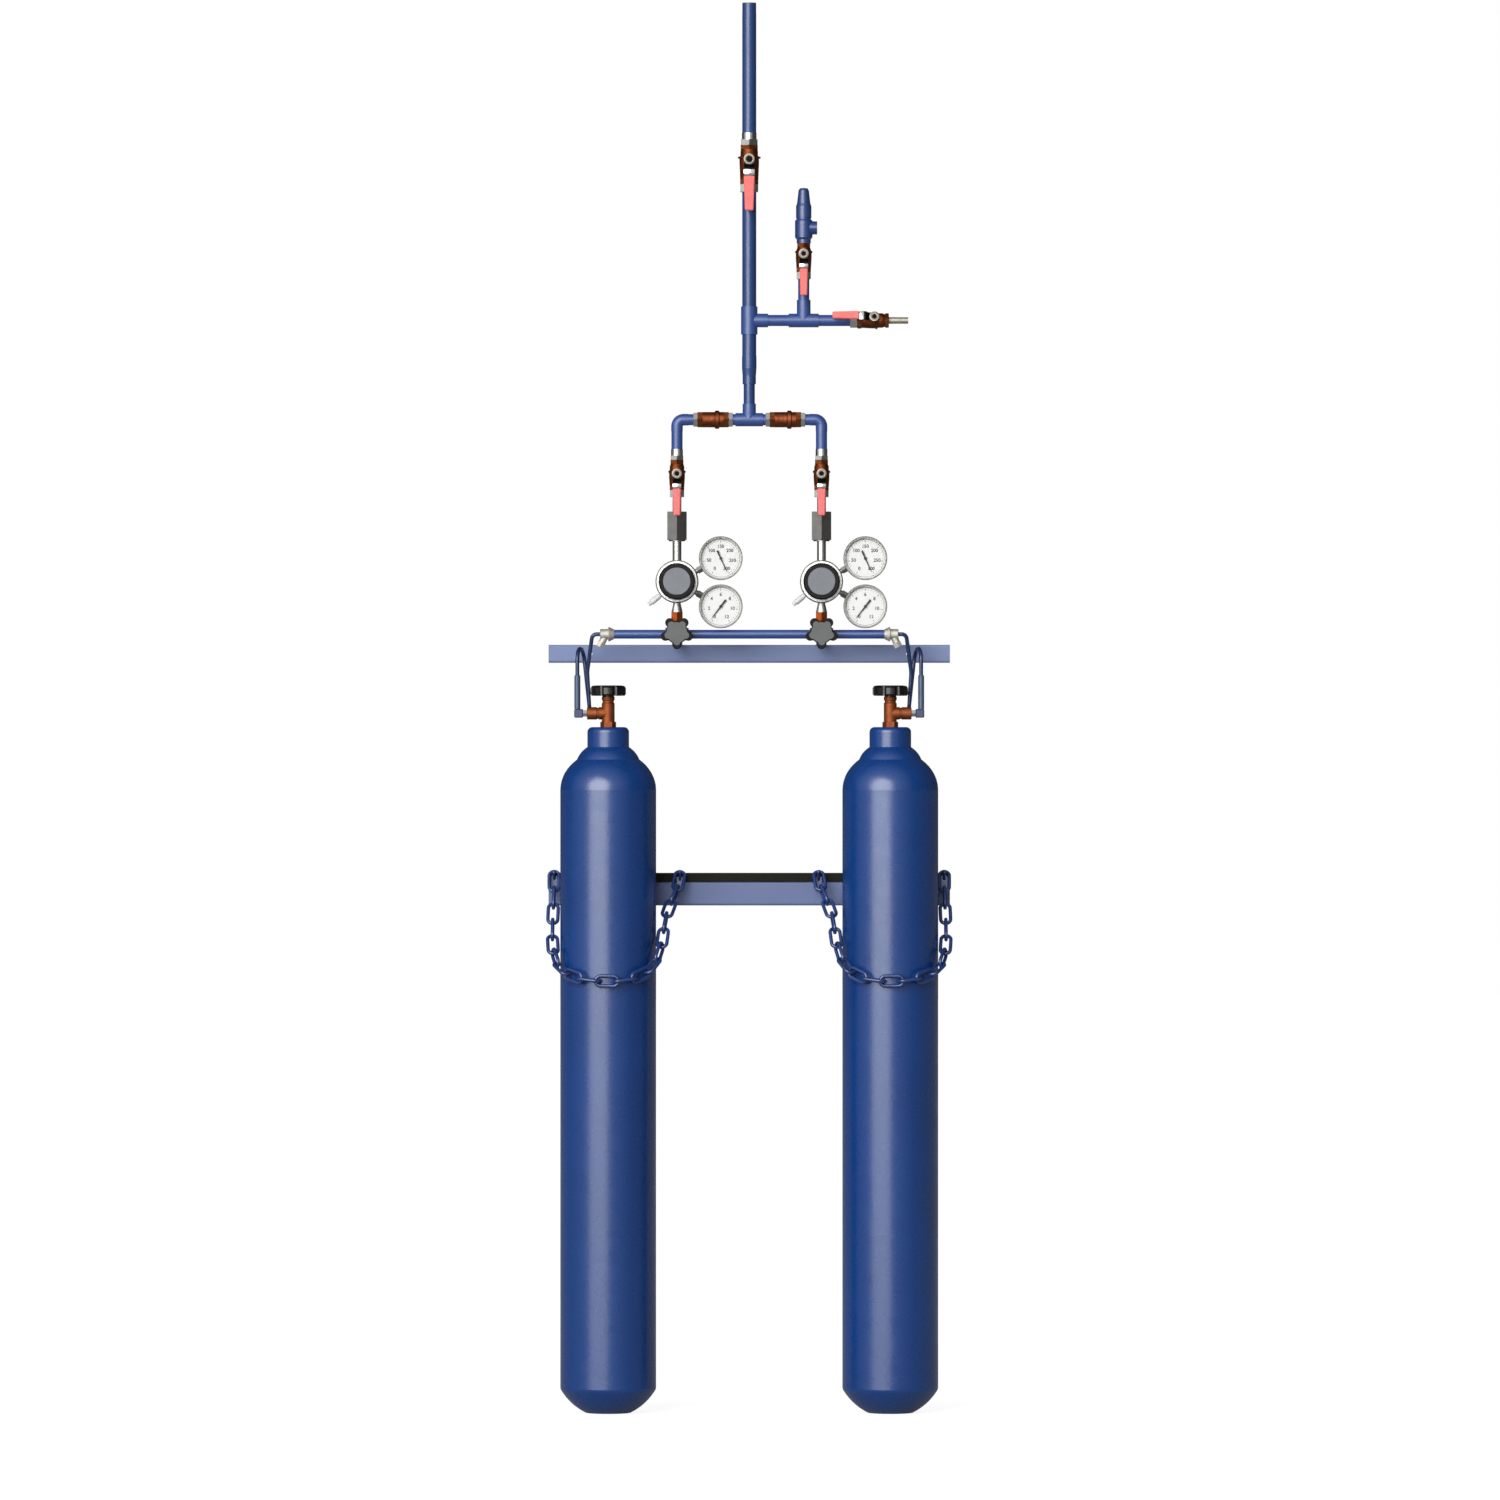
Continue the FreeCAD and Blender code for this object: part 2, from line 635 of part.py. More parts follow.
# Brackets: flat bars bolted to the top flange of the header rail, with a screw up into each master valve.
bolt_ys = (RAIL_FRONT + 13, RAIL_FRONT + 28)
bolt_holes = []
for x in (-LEG_X, LEG_X):
    for y in bolt_ys:
        bolt_holes.append(rod(BOLT_R + SLIP, V(x, y, rail_top - 8), V(x, y, bracket_top + 1)))
bolt_cut = Part.makeCompound(bolt_holes)
brackets = []
screws = []
for x in (-LEG_X, LEG_X):
    bar = box((x - BRACKET_W / 2, x + BRACKET_W / 2), (-BRACKET_W / 2, RAIL_FRONT + RAIL_DEPTH - 1), (rail_top, bracket_top))
    bar = rounded(bar, BRACKET_W / 2 - 0.5, lambda e: e.BoundBox.ZLength > 1 and e.BoundBox.YMax < 0)
    screw_hole = rod(2.5 + SLIP, V(x, 0, rail_top), V(x, 0, bracket_top))
    brackets.append(bar.cut(bolt_cut).cut(screw_hole))
    screws.append(fused(rod(5.5, V(x, 0, rail_top - 4), V(x, 0, rail_top)), rod(2.5, V(x, 0, rail_top - 1), V(x, 0, bracket_top + 6))))
    for y in bolt_ys:
        shank = rod(BOLT_R, V(x, y, rail_top - 11), V(x, y, bracket_top + 1))
        head = chamfered_hexagon(13.0, V(x, y, bracket_top), V(x, y, bracket_top + 5.3))
        low_nut = chamfered_hexagon(13.0, V(x, y, rail_top - RAIL_SHEET - 6.5), V(x, y, rail_top - RAIL_SHEET))
        screws.append(fused(shank, head, low_nut))
save("header_brackets", *brackets)
save("bracket_bolts", *screws)
save("header_rail", header_rail.cut(bolt_cut))
save("cylinder_rail", cylinder_rail)
save("rail_pad", pad)


# Chains: welded links, every second one turned a quarter, laid round the front of each cylinder.
def link(pitch):
    flat_r = LINK_WIRE_R * math.cos(math.radians(22.5))
    bend_r = LINK_OUTER_W / 2 - LINK_WIRE_R
    straight = pitch / 2 + flat_r - bend_r * math.cos(math.radians(18))
    path = []
    for i in range(6):
        a = math.radians(-90 + 36 * i)
        path.append(V(straight + bend_r * math.cos(a), bend_r * math.sin(a), 0))
    path += [V(-p.x, -p.y, 0) for p in path]
    n = len(path)
    rings = []
    for i in range(n):
        before = (path[i] - path[i - 1]).normalize()
        after = (path[(i + 1) % n] - path[i]).normalize()
        outward = V(before.y + after.y, -before.x - after.x, 0).normalize()
        stretch = 1 / math.cos(before.getAngle(after) / 2)
        ring = []
        for k in range(8):
            a = math.radians(22.5 + 45 * k)
            ring.append(path[i] + outward * (LINK_WIRE_R * stretch * math.cos(a)) + V(0, 0, LINK_WIRE_R * math.sin(a)))
        rings.append(ring)
    faces = []
    for i in range(n):
        a, b = rings[i], rings[(i + 1) % n]
        for k in range(8):
            m = (k + 1) % 8
            faces.append(Part.Face(Part.makePolygon([a[k], a[m], b[m], b[k], a[k]])))
    return Part.Solid(Part.makeShell(faces))


CHAIN_ROUTE = [
    V(ANCHOR_INSET - RAIL_HALF, ANCHOR_Y, ANCHOR_Z),
    V(-471.0, 52.0, 1214.0),
    V(-472.5, 5.0, 1142.0),
    V(-466.5, -38.0, 1092.0),
    V(-437.5, -90.0, 1056.0),
    V(-392.0, -123.0, 1042.0),
    V(-338.5, -CHAIN_R, 1038.0),
    V(-285.0, -123.0, 1042.0),
    V(-240.5, -91.0, 1062.0),
    V(-213.5, -49.0, 1106.0),
    V(-203.5, -4.0, 1170.0),
    V(-190.5, 36.0, 1217.0),
    V(-174.5, 68.0, 1252.0),
    V(-167.0, ANCHOR_Y, ANCHOR_Z),
]


def chain():
    curve = Part.BSplineCurve()
    curve.interpolate(Points=CHAIN_ROUTE)
    span = curve.length() + 2 * ANCHOR_PIN_R
    count = 2 * round((span / (LINK_PITCH - LINK_SLACK) - 1) / 2) + 1
    step = span / count
    one = link(step + LINK_SLACK)
    joints = [curve.value(curve.parameterAtDistance(step * i - ANCHOR_PIN_R)) for i in range(1, count)]
    joints.insert(0, CHAIN_ROUTE[0] + (CHAIN_ROUTE[0] - joints[0]).normalize() * ANCHOR_PIN_R)
    joints.append(CHAIN_ROUTE[-1] + (CHAIN_ROUTE[-1] - joints[-1]).normalize() * ANCHOR_PIN_R)
    links = []
    for i in range(count):
        a, b = joints[i], joints[i + 1]
        way = (b - a).normalize()
        middle = (a + b) * 0.5
        outward = V(middle.x + CYL_X, middle.y, 0).normalize()
        if middle.y > 10:
            outward = V(-1 if middle.x < -CYL_X else 1, 0, 0)
        flat = way.cross(outward).normalize()
        across = flat if i % 2 else flat.cross(way)
        normal = way.cross(across)
        frame = FreeCAD.Matrix(way.x, across.x, normal.x, middle.x, way.y, across.y, normal.y, middle.y, way.z, across.z, normal.z, middle.z)
        placed = one.copy()
        placed.Placement = FreeCAD.Placement(frame)
        links.append(placed)
    return links, (joints[1] - joints[0]).normalize(), (joints[-2] - joints[-1]).normalize()


links, outer_way, inner_way = chain()
save("chain_left", *links)
save("chain_right", *[mirrored(piece) for piece in links])


# Chain anchors: a plate on the rail with a bar that slants up through the end link to a ball tip.
def anchor(place, way):
    side = V(1, 0, 0) - way * way.x
    up = way.cross(side).normalize()
    up = up if up.y < 0 else up * -1
    root = place - up * ((RAIL_FRONT - place.y) / -up.y)
    tip = place + up * (LINK_WIRE_R + 6)
    across = (root.x - ANCHOR_PLATE_W / 2, root.x + ANCHOR_PLATE_W / 2)
    plate_z = (CYL_RAIL_Z + CYL_RAIL_H - 24, root.z + 8)
    plate = box(across, (RAIL_FRONT - ANCHOR_PLATE_T, RAIL_FRONT), plate_z)
    bar = rod(ANCHOR_PIN_R, root, tip).cut(box(across, (RAIL_FRONT, RAIL_FRONT + 10), plate_z))
    return fused(plate, bar, Part.makeSphere(ANCHOR_PIN_R + 1.5, tip))


outer_anchor = anchor(CHAIN_ROUTE[0], outer_way)
inner_anchor = anchor(CHAIN_ROUTE[-1], inner_way)
save("chain_anchors", outer_anchor, inner_anchor, mirrored(outer_anchor), mirrored(inner_anchor))


# Regulator inlets: a coupling nut with a spigot down into the master valve.
reg_port_z = MASTER_TOP + INLET_NUT_H


def regulator_inlet(x):
    nut = chamfered_hexagon(INLET_NUT_AF, V(x, 0, MASTER_TOP), V(x, 0, reg_port_z), 30)
    spigot = rod(7.0 - SLIP, V(x, 0, MASTER_TOP - 8), V(x, 0, MASTER_TOP))
    return fused(nut, spigot).cut(rod(3.0, V(x, 0, MASTER_TOP - 9), V(x, 0, reg_port_z)))


save("regulator_inlets", regulator_inlet(-LEG_X), regulator_inlet(LEG_X))


# Regulators: a round body with a rear cap, bosses for the ports and a bonnet for the adjusting knob.
def polar(x, z, radius, angle):
    a = math.radians(angle)
    return V(x + radius * math.cos(a), 0, z + radius * math.sin(a))


def gauge_angle(gauge_z):
    return math.degrees(math.atan2(gauge_z - REG_Z, GAUGE_DX))


PORT_IN = 42.0
STEM_R = 6.0
RELIEF_R = 5.0
BONNET_LEN = 8.0


def regulator(x):
    profile = [
        (0, -REG_HALF - BONNET_LEN),
        (REG_KNOB_R - 3, -REG_HALF - BONNET_LEN),
        (REG_KNOB_R - 3, -REG_HALF),
        (REG_R - 3, -REG_HALF),
        (REG_R, -REG_HALF + 3),
        (REG_R, -3),
        (REG_R - 1.5, -2),
        (REG_R - 1.5, 2),
        (REG_R, 3),
        (REG_R, REG_HALF - 3),
        (REG_R - 3, REG_HALF),
        (REG_R - 14, REG_HALF),
        (REG_R - 16, REG_HALF + 12),
        (REG_R - 22, REG_HALF + 16),
        (0, REG_HALF + 16),
    ]
    body = turned(profile, V(x, 0, REG_Z), V(0, 1, 0))
    boss_len = REG_Z - reg_port_z
    flare = [(0, 0), (INLET_NUT_AF / 2, 0), (REG_STEM_R, REG_STEM_FLARE), (REG_STEM_R, boss_len), (0, boss_len)]
    boss = turned(flare, V(x, 0, reg_port_z))
    whole = fused(body, boss)
    inlet_bore = rod(3.0, V(x, 0, reg_port_z), V(x, 0, REG_TOP_SEAT))
    socket = rod(PIPE_S + SLIP, V(x, 0, REG_TOP_SEAT), V(x, 0, REG_Z + REG_R + 1))
    screw = rod(SPINDLE_R + 1 + RUN, V(x, -8, REG_Z), V(x, -REG_HALF - BONNET_LEN, REG_Z))
    ports = []
    for gauge_z in (GAUGE_HIGH_Z, GAUGE_LOW_Z):
        a = gauge_angle(gauge_z)
        ports.append(rod(STEM_R + SLIP, polar(x, REG_Z, PORT_IN, a), polar(x, REG_Z, REG_R + 2, a)))
    ports.append(rod(RELIEF_R + SLIP, polar(x, REG_Z, PORT_IN, RELIEF_ANGLE), polar(x, REG_Z, REG_R + 2, RELIEF_ANGLE)))
    return whole.cut(fused(inlet_bore, socket)).cut(screw).cut(Part.makeCompound(ports))


save("regulator_bodies", regulator(-LEG_X), regulator(LEG_X))


def regulator_knob(x):
    back = REG_HALF + BONNET_LEN + 0.1
    front = back + REG_KNOB_LEN
    profile = [
        (0, back),
        (REG_KNOB_R - 2, back),
        (REG_KNOB_R, back + 2),
        (REG_KNOB_R, front - 7),
        (REG_KNOB_R - 3, front - 4),
        (REG_FACE_R + 2, front - 4),
        (REG_FACE_R + 2, front - 6),
        (REG_FACE_R, front - 6),
        (REG_FACE_R, front - 1.5),
        (REG_FACE_R - 1.5, front),
        (0, front),
    ]
    knob = turned(profile, V(x, 0, REG_Z), V(0, -1, 0))
    screw = rod(SPINDLE_R + 1, V(x, -10, REG_Z), V(x, -back - 1, REG_Z))
    return fused(knob, screw)


save("regulator_knob_left", regulator_knob(-LEG_X))
save("regulator_knob_right", regulator_knob(LEG_X))


# Relief valves: slanted down to the left of each regulator.
def relief_valve(x):
    start = polar(x, REG_Z, PORT_IN, RELIEF_ANGLE)
    way = (polar(x, REG_Z, REG_R, RELIEF_ANGLE) - start).normalize()
    neck = REG_R - PORT_IN
    reach = RELIEF_REACH - PORT_IN
    outline = [
        (0, 0),
        (RELIEF_R, 0),
        (RELIEF_R, neck + 3),
        (RELIEF_R + 2, neck + 4),
        (RELIEF_R + 2, reach - 9),
        (RELIEF_R, reach - 7),
        (RELIEF_R, reach - 1),
        (RELIEF_R - 1, reach),
        (2, reach),
        (2, reach - 12),
        (0, reach - 12),
    ]
    return turned(outline, start, way)


save("relief_valves", relief_valve(-LEG_X), relief_valve(LEG_X))


# Gauges: a cup with a bezel and side stem, a dial on a ledge, a lens and a pointer on its arbor.
DIAL_Y = 8.5
LENS_Y = 19.0
ARBOR_R = 1.5
GAUGES = [(x, z) for x in (-LEG_X + GAUGE_DX, LEG_X + GAUGE_DX) for z in (GAUGE_HIGH_Z, GAUGE_LOW_Z)]


def gauge_case(x, z):
    outline = [
        (0, -GAUGE_BACK),
        (GAUGE_CASE_R - 3, -GAUGE_BACK),
        (GAUGE_CASE_R, -GAUGE_BACK + 3),
        (GAUGE_CASE_R, GAUGE_FRONT - 10),
        (GAUGE_R, GAUGE_FRONT - 9),
        (GAUGE_R, GAUGE_FRONT - 1.5),
        (GAUGE_R - 1.5, GAUGE_FRONT),
        (GAUGE_CASE_R, GAUGE_FRONT),
        (GAUGE_CASE_R, LENS_Y),
        (GAUGE_CASE_R - 2, LENS_Y),
        (GAUGE_CASE_R - 2, DIAL_Y),
        (GAUGE_CASE_R - 4, DIAL_Y),
        (GAUGE_CASE_R - 4, -GAUGE_BACK + 2),
        (5, -GAUGE_BACK + 2),
        (5, DIAL_Y - 1.5),
        (ARBOR_R + RUN, DIAL_Y - 1.5),
        (ARBOR_R + RUN, -GAUGE_BACK + 8),
        (0, -GAUGE_BACK + 8),
    ]
    case = turned(outline, V(x, 0, z), V(0, -1, 0))
    leg = x - GAUGE_DX
    a = gauge_angle(z)
    span = math.hypot(GAUGE_DX, z - REG_Z)
    start = polar(leg, REG_Z, PORT_IN, a)
    end = polar(leg, REG_Z, span - GAUGE_CASE_R + 2, a)
    stem = rod(STEM_R, start, end)
    flats = hexagon(GAUGE_STEM_AF, polar(leg, REG_Z, REG_R + 4, a), polar(leg, REG_Z, span - GAUGE_CASE_R + 1, a), 30)
    inside = turned([(0, -GAUGE_BACK + 2), (GAUGE_CASE_R - 4, -GAUGE_BACK + 2), (GAUGE_CASE_R - 4, DIAL_Y), (0, DIAL_Y)], V(x, 0, z), V(0, -1, 0))
    return case.fuse(fused(stem, flats).cut(inside)).removeSplitter()


save("gauge_cases", *[gauge_case(x, z) for x, z in GAUGES])
dials = []
lenses = []
for x, z in GAUGES:
    plate = rod(GAUGE_CASE_R - 2 - SLIP, V(x, -DIAL_Y, z), V(x, -DIAL_Y - 1.5, z))
    dials.append(plate.cut(rod(2.5, V(x, -DIAL_Y, z), V(x, -DIAL_Y - 1.5, z))))
    lenses.append(rod(GAUGE_CASE_R - SLIP, V(x, -LENS_Y, z), V(x, -LENS_Y - 2.5, z)))
save("gauge_dials", *dials)
save("gauge_lenses", *lenses)


def pointer(x, z, angle):
    y = -DIAL_Y - 4.0
    outline = [V(-20, 0, -2.6), V(-20, 0, 2.6), V(0, 0, 1.6), V(30, 0, 0.9), V(37, 0, 0), V(30, 0, -0.9), V(0, 0, -1.6)]
    needle = Part.Face(Part.makePolygon(outline + [outline[0]])).extrude(V(0, -1.2, 0))
    hub = Part.makeCylinder(3.5, 2.5, V(0, 0.5, 0), V(0, -1, 0))
    needle = fused(needle, hub, Part.makeCylinder(ARBOR_R, GAUGE_BACK - 11 - y, V(0, GAUGE_BACK - 11 - y, 0), V(0, -1, 0)))
    needle.rotate(V(0, 0, 0), V(0, -1, 0), angle)
    return moved(needle, x, y, z)


for (x, z), name in zip(GAUGES, ("left_high", "left_low", "right_high", "right_low")):
    save("pointer_" + name, pointer(x, z, POINTER_HIGH if z == GAUGE_HIGH_Z else POINTER_LOW))

# Regulator outlets, arrestors and their elements.
outlets = [pipe(PIPE_S, PIPE_S_BORE, V(x, 0, REG_TOP_SEAT), V(x, 0, ARR_Z + SOCKET)) for x in (-LEG_X, LEG_X)]
save("regulator_outlets", *outlets)
ELEMENT_R = 15.0
element_low = ARR_Z + SOCKET + 8
element_top = ARR_TOP - SOCKET - 5


def arrestor(x):
    shell = fused(
        chamfered_hexagon(ARR_AF, V(x, 0, ARR_Z + 3), V(x, 0, ARR_TOP), 30),
        rod(ARR_AF / 2 - 3.5, V(x, 0, ARR_Z), V(x, 0, ARR_Z + 4)),
    )
    sockets = [rod(PIPE_S + SLIP, V(x, 0, ARR_Z), V(x, 0, ARR_Z + SOCKET)), rod(PIPE_S + SLIP, V(x, 0, ARR_TOP - SOCKET), V(x, 0, ARR_TOP))]
    chamber = rod(ELEMENT_R + SLIP, V(x, 0, element_low), V(x, 0, element_top))
    bore = rod(PIPE_S_BORE, V(x, 0, ARR_Z), V(x, 0, ARR_TOP))
    return shell.cut(fused(chamber, bore, *sockets))


save("arrestors", arrestor(-LEG_X), arrestor(LEG_X))
elements = []
for x in (-LEG_X, LEG_X):
    core = rod(ELEMENT_R, V(x, 0, element_low), V(x, 0, element_top))
    elements.append(core.cut(rod(4.0, V(x, 0, element_low), V(x, 0, element_top - 6))))
save("arrestor_elements", *elements)


# Ball valves, made with the pipe along Z and the stem to the front at the origin.
def ball_valve(low, high, size, low_pipe, high_pipe):
    body = turned(
        [
            (0, low),
            (size["low_r"], low),
            (size["belly_r"], RIDGE_RISE - 14),
            (size["belly_r"], RIDGE_RISE - 3),
            (size["ridge_r"], RIDGE_RISE - 1.5),
            (size["ridge_r"], RIDGE_RISE + 1.5),
            (size["chest_r"], RIDGE_RISE + 4),
            (size["chest_r"], high - 16),
            (size["high_r"], high - 9),
            (size["high_r"], high),
            (0, high),
        ]
    )
    hexes = [
        chamfered_hexagon(2 * size["low_r"] + 0.6, V(0, 0, low), V(0, 0, low + 11), 30),
        chamfered_hexagon(2 * size["high_r"] + 0.6, V(0, 0, high - 9), V(0, 0, high), 30),
    ]
    boss = rod(STEM_BOSS_R, V(0, 0, 0), V(0, -size["boss_y"], 0))
    holes = [
        Part.makeSphere(size["ball_r"] + RUN),
        rod(size["port_r"], V(0, 0, low), V(0, 0, high)),
        rod(SPINDLE_R + RUN, V(0, 0, 0), V(0, -size["boss_y"], 0)),
        rod(low_pipe + SLIP, V(0, 0, low), V(0, 0, low + SOCKET)),
        rod(high_pipe + SLIP, V(0, 0, high - SOCKET), V(0, 0, high)),
    ]
    return fused(body, boss, *hexes).cut(fused(*holes))


# Levers: a ported ball and its stem, a round hub with a nut, and a plate that steps out to a narrow tang.
def lever(size):
    y0 = -size["boss_y"] - 0.1
    near, far = LEVER_JOGGLE
    end = -size["lever_len"] + 4
    side = [
        V(0, y0, 0),
        V(0, y0, -near),
        V(0, y0 - LEVER_OUT, -far),
        V(0, y0 - LEVER_OUT, end),
        V(0, y0 - LEVER_OUT - LEVER_T, end),
        V(0, y0 - LEVER_OUT - LEVER_T, -far + LEVER_T / 2),
        V(0, y0 - LEVER_T, -near + LEVER_T / 2),
        V(0, y0 - LEVER_T, 0),
    ]
    half_w = size["lever_w"] / 2
    plate = Part.Face(Part.makePolygon(side + [side[0]])).extrude(V(2 * half_w, 0, 0))
    plate = moved(plate, -half_w)
    grip_start = -size["lever_len"] + size["grip_len"]
    waist = box((TANG_W / 2, half_w + 1), (y0 - LEVER_OUT - 2 * LEVER_T, y0), (end - 1, grip_start + SLIP))
    plate = plate.cut(waist).cut(mirrored(waist))
    hub = rod(size["hub_r"], V(0, y0, 0), V(0, y0 - LEVER_T, 0))
    nut = chamfered_hexagon(size["nut_af"], V(0, y0 - LEVER_T, 0), V(0, y0 - LEVER_T - 6, 0))
    bore = rod(size["port_r"], V(0, 0, -size["ball_r"]), V(0, 0, size["ball_r"]))
    stem = rod(SPINDLE_R, V(0, 0, 0), V(0, y0 - LEVER_T - 1, 0)).cut(bore)
    ball = Part.makeSphere(size["ball_r"]).cut(bore)
    return fused(plate, hub, nut, stem, ball)


def grip(size):
    middle_y = -size["boss_y"] - 0.1 - LEVER_OUT - LEVER_T / 2
    length = size["lever_len"]
    start = -length + size["grip_len"]
    top_half = size["grip_top_w"] / 2
    end_half = size["grip_end_w"] / 2
    outline = [V(-top_half, 0, start), V(top_half, 0, start), V(end_half, 0, -length), V(-end_half, 0, -length)]
    body = Part.Face(Part.makePolygon(outline + [outline[0]])).extrude(V(0, GRIP_T, 0))
    body = moved(body, 0, middle_y - GRIP_T / 2)
    body = body.makeFillet(3.5, body.Edges)
    half_w = TANG_W / 2 + SLIP
    half_t = LEVER_T / 2 + SLIP
    return body.cut(box((-half_w, half_w), (middle_y - half_t, middle_y + half_t), (-length + 4, start + 1)))


VALVES = {
    "leg_left": (LEG_VALVE, V(-LEG_X, 0, 0), SMALL_VALVE, PIPE_S, PIPE_M),
    "leg_right": (LEG_VALVE, V(LEG_X, 0, 0), SMALL_VALVE, PIPE_S, PIPE_M),
    "safety": (SAFETY_BALL, V(VENT_X, 0, 0), SMALL_VALVE, PIPE_M, PIPE_M),
    "vent": (VENT_BALL, V(0, 0, BRANCH_Z), SMALL_VALVE, PIPE_M, NOZZLE_R),
    "main": (MAIN_BALL, V(0, 0, 0), LARGE_VALVE, PIPE_L, PIPE_L),
}
bodies = []
for name, (span, base, size, low_pipe, high_pipe) in VALVES.items():
    low, high, at = span
    pieces = [ball_valve(low - at, high - at, size, low_pipe, high_pipe), lever(size), grip(size)]
    if name == "vent":
        pieces = [turned_about(p, V(0, 0, 0), V(0, 1, 0), 90) for p in pieces]
        pieces = [turned_about(p, V(0, 0, 0), V(1, 0, 0), -VENT_TILT) for p in pieces]
        place = base + V(at, 0, 0)
    else:
        place = base + V(0, 0, at)
    body, arm, handle = [moved(p, place.x, place.y, place.z) for p in pieces]
    bodies.append(body)
    save("lever_" + name, arm)
    save("grip_" + name, handle)
save("ball_valve_bodies", *bodies)


# Gland nuts where pipes enter the valves, and plain bands above them.
def gland(across_flats, pipe_r, start, end):
    return chamfered_hexagon(across_flats, start, end, 30).cut(rod(pipe_r + SLIP, start, end))


def band(pipe_r, start, end):
    return rod(pipe_r + BAND_T, start, end).cut(rod(pipe_r + SLIP, start, end))


glands = []
for x, span, size, low_pipe, high_pipe in (
    (-LEG_X, LEG_VALVE, SMALL_VALVE, PIPE_S, PIPE_M),
    (LEG_X, LEG_VALVE, SMALL_VALVE, PIPE_S, PIPE_M),
    (0, MAIN_BALL, LARGE_VALVE, PIPE_L, PIPE_L),
):
    low = V(x, 0, span[0])
    high = V(x, 0, span[1])
    nut_top = high + V(0, 0, size["high_nut_h"])
    glands.append(gland(size["low_nut_af"], low_pipe, low - V(0, 0, size["low_nut_h"]), low))
    glands.append(gland(size["high_nut_af"], high_pipe, high, nut_top))
    glands.append(band(high_pipe, nut_top, nut_top + V(0, 0, BAND_H)))
branch_af = SMALL_VALVE["low_nut_af"]
branch_h = SMALL_VALVE["low_nut_h"]
glands.append(gland(branch_af, PIPE_M, V(VENT_X, 0, SAFETY_BALL[0] - branch_h), V(VENT_X, 0, SAFETY_BALL[0])))
glands.append(gland(branch_af, PIPE_M, V(VENT_BALL[0] - branch_h, 0, BRANCH_Z), V(VENT_BALL[0], 0, BRANCH_Z)))
check_body = CHECK_HALF - 10
for x in (-CHECK_X, CHECK_X):
    for side in (-1, 1):
        glands.append(gland(CHECK_NUT_AF, PIPE_M, V(x + side * check_body, 0, RUN_Z), V(x + side * CHECK_HALF, 0, RUN_Z)))
save("gland_nuts", *glands)


# Check valves: the same outside both times, with the seat facing the inflow from the elbow.
def check_valve(x, flow):
    c = V(x, 0, RUN_Z)
    outline = [
        (0, -check_body),
        (CHECK_R - 2, -check_body),
        (CHECK_R, -check_body + 12),
        (CHECK_R, CHECK_RIDGE_DX - 6),
        (CHECK_RIDGE_R, CHECK_RIDGE_DX - 4),
        (CHECK_RIDGE_R, CHECK_RIDGE_DX + 4),
        (CHECK_R, CHECK_RIDGE_DX + 6),
        (CHECK_R, check_body - 12),
        (CHECK_R - 2, check_body),
        (0, check_body),
    ]
    body = turned(outline, c, V(1, 0, 0))
    ends = []
    for side in (-1, 1):
        ends.append(chamfered_hexagon(2 * CHECK_R - 1, c + V(side * (check_body - 12), 0, 0), c + V(side * check_body, 0, 0), 30))
    whole = fused(body, *ends)
    way = V(flow, 0, 0)
    seat = c - way * 8
    holes = [
        rod(PIPE_M + SLIP, c - way * check_body, c - way * (check_body - SOCKET + 1)),
        rod(PIPE_M + SLIP, c + way * (check_body - SOCKET + 1), c + way * check_body),
        rod(7.0, c - way * check_body, c),
        rod(12.0, seat, c + way * 12),
        rod(POPPET_STEM_R + RUN, c, c + way * 20),
        rod(10.0, c + way * 17, c + way * check_body),
    ]
    for i in range(4):
        a = math.radians(45 + 90 * i)
        start = c + V(0, 8 * math.cos(a), 8 * math.sin(a))
        holes.append(rod(2.5, start, start + way * 20))
    return whole.cut(fused(*holes))


POPPET_STEM_R = 3.0
save("check_valves", check_valve(-CHECK_X, 1), check_valve(CHECK_X, -1))
for name, x, flow in (("left", -CHECK_X, 1), ("right", CHECK_X, -1)):
    outline = [(0, 0), (10, 0), (10, 2), (8, 4), (POPPET_STEM_R, 4), (POPPET_STEM_R, 26), (0, 26)]
    save("check_poppet_" + name, turned(outline, V(x - flow * 8, 0, RUN_Z), V(flow, 0, 0)))


# Elbows, welded on at their ends, and tees.
def elbow():
    inner_x = LEG_X - ELBOW_BEND
    low_z = RUN_Z - ELBOW_BEND

    def bend(radius):
        corner = box((inner_x, LEG_X + 40), (-40, 40), (low_z, RUN_Z + 40))
        quarter = Part.makeTorus(ELBOW_BEND, radius, V(inner_x, 0, low_z), V(0, -1, 0)).common(corner)
        down = rod(radius, V(LEG_X, 0, RUN_Z - ELBOW_LEG), V(LEG_X, 0, low_z))
        inward = rod(radius, V(LEG_X - ELBOW_LEG, 0, RUN_Z), V(inner_x, 0, RUN_Z))
        return fused(quarter, down, inward)

    return bend(ELBOW_R).cut(bend(PIPE_M_BORE))


right_elbow = elbow()
save("elbows", mirrored(right_elbow), right_elbow)


def tee(centre, run_way, run_half, run_r, side_way, side_len, side_r, run_pipe, run_bore, depth):
    body = rod(run_r, centre - run_way * run_half, centre + run_way * run_half)
    branch = rod(side_r, centre, centre + side_way * side_len)
    holes = [
        rod(run_bore, centre - run_way * run_half, centre + run_way * run_half),
        rod(PIPE_M_BORE, centre, centre + side_way * side_len),
        rod(run_pipe + SLIP, centre - run_way * run_half, centre - run_way * (run_half - depth)),
        rod(run_pipe + SLIP, centre + run_way * (run_half - depth), centre + run_way * run_half),
        rod(PIPE_M + SLIP, centre + side_way * (side_len - SOCKET), centre + side_way * side_len),
    ]
    return fused(body, branch).cut(fused(*holes))


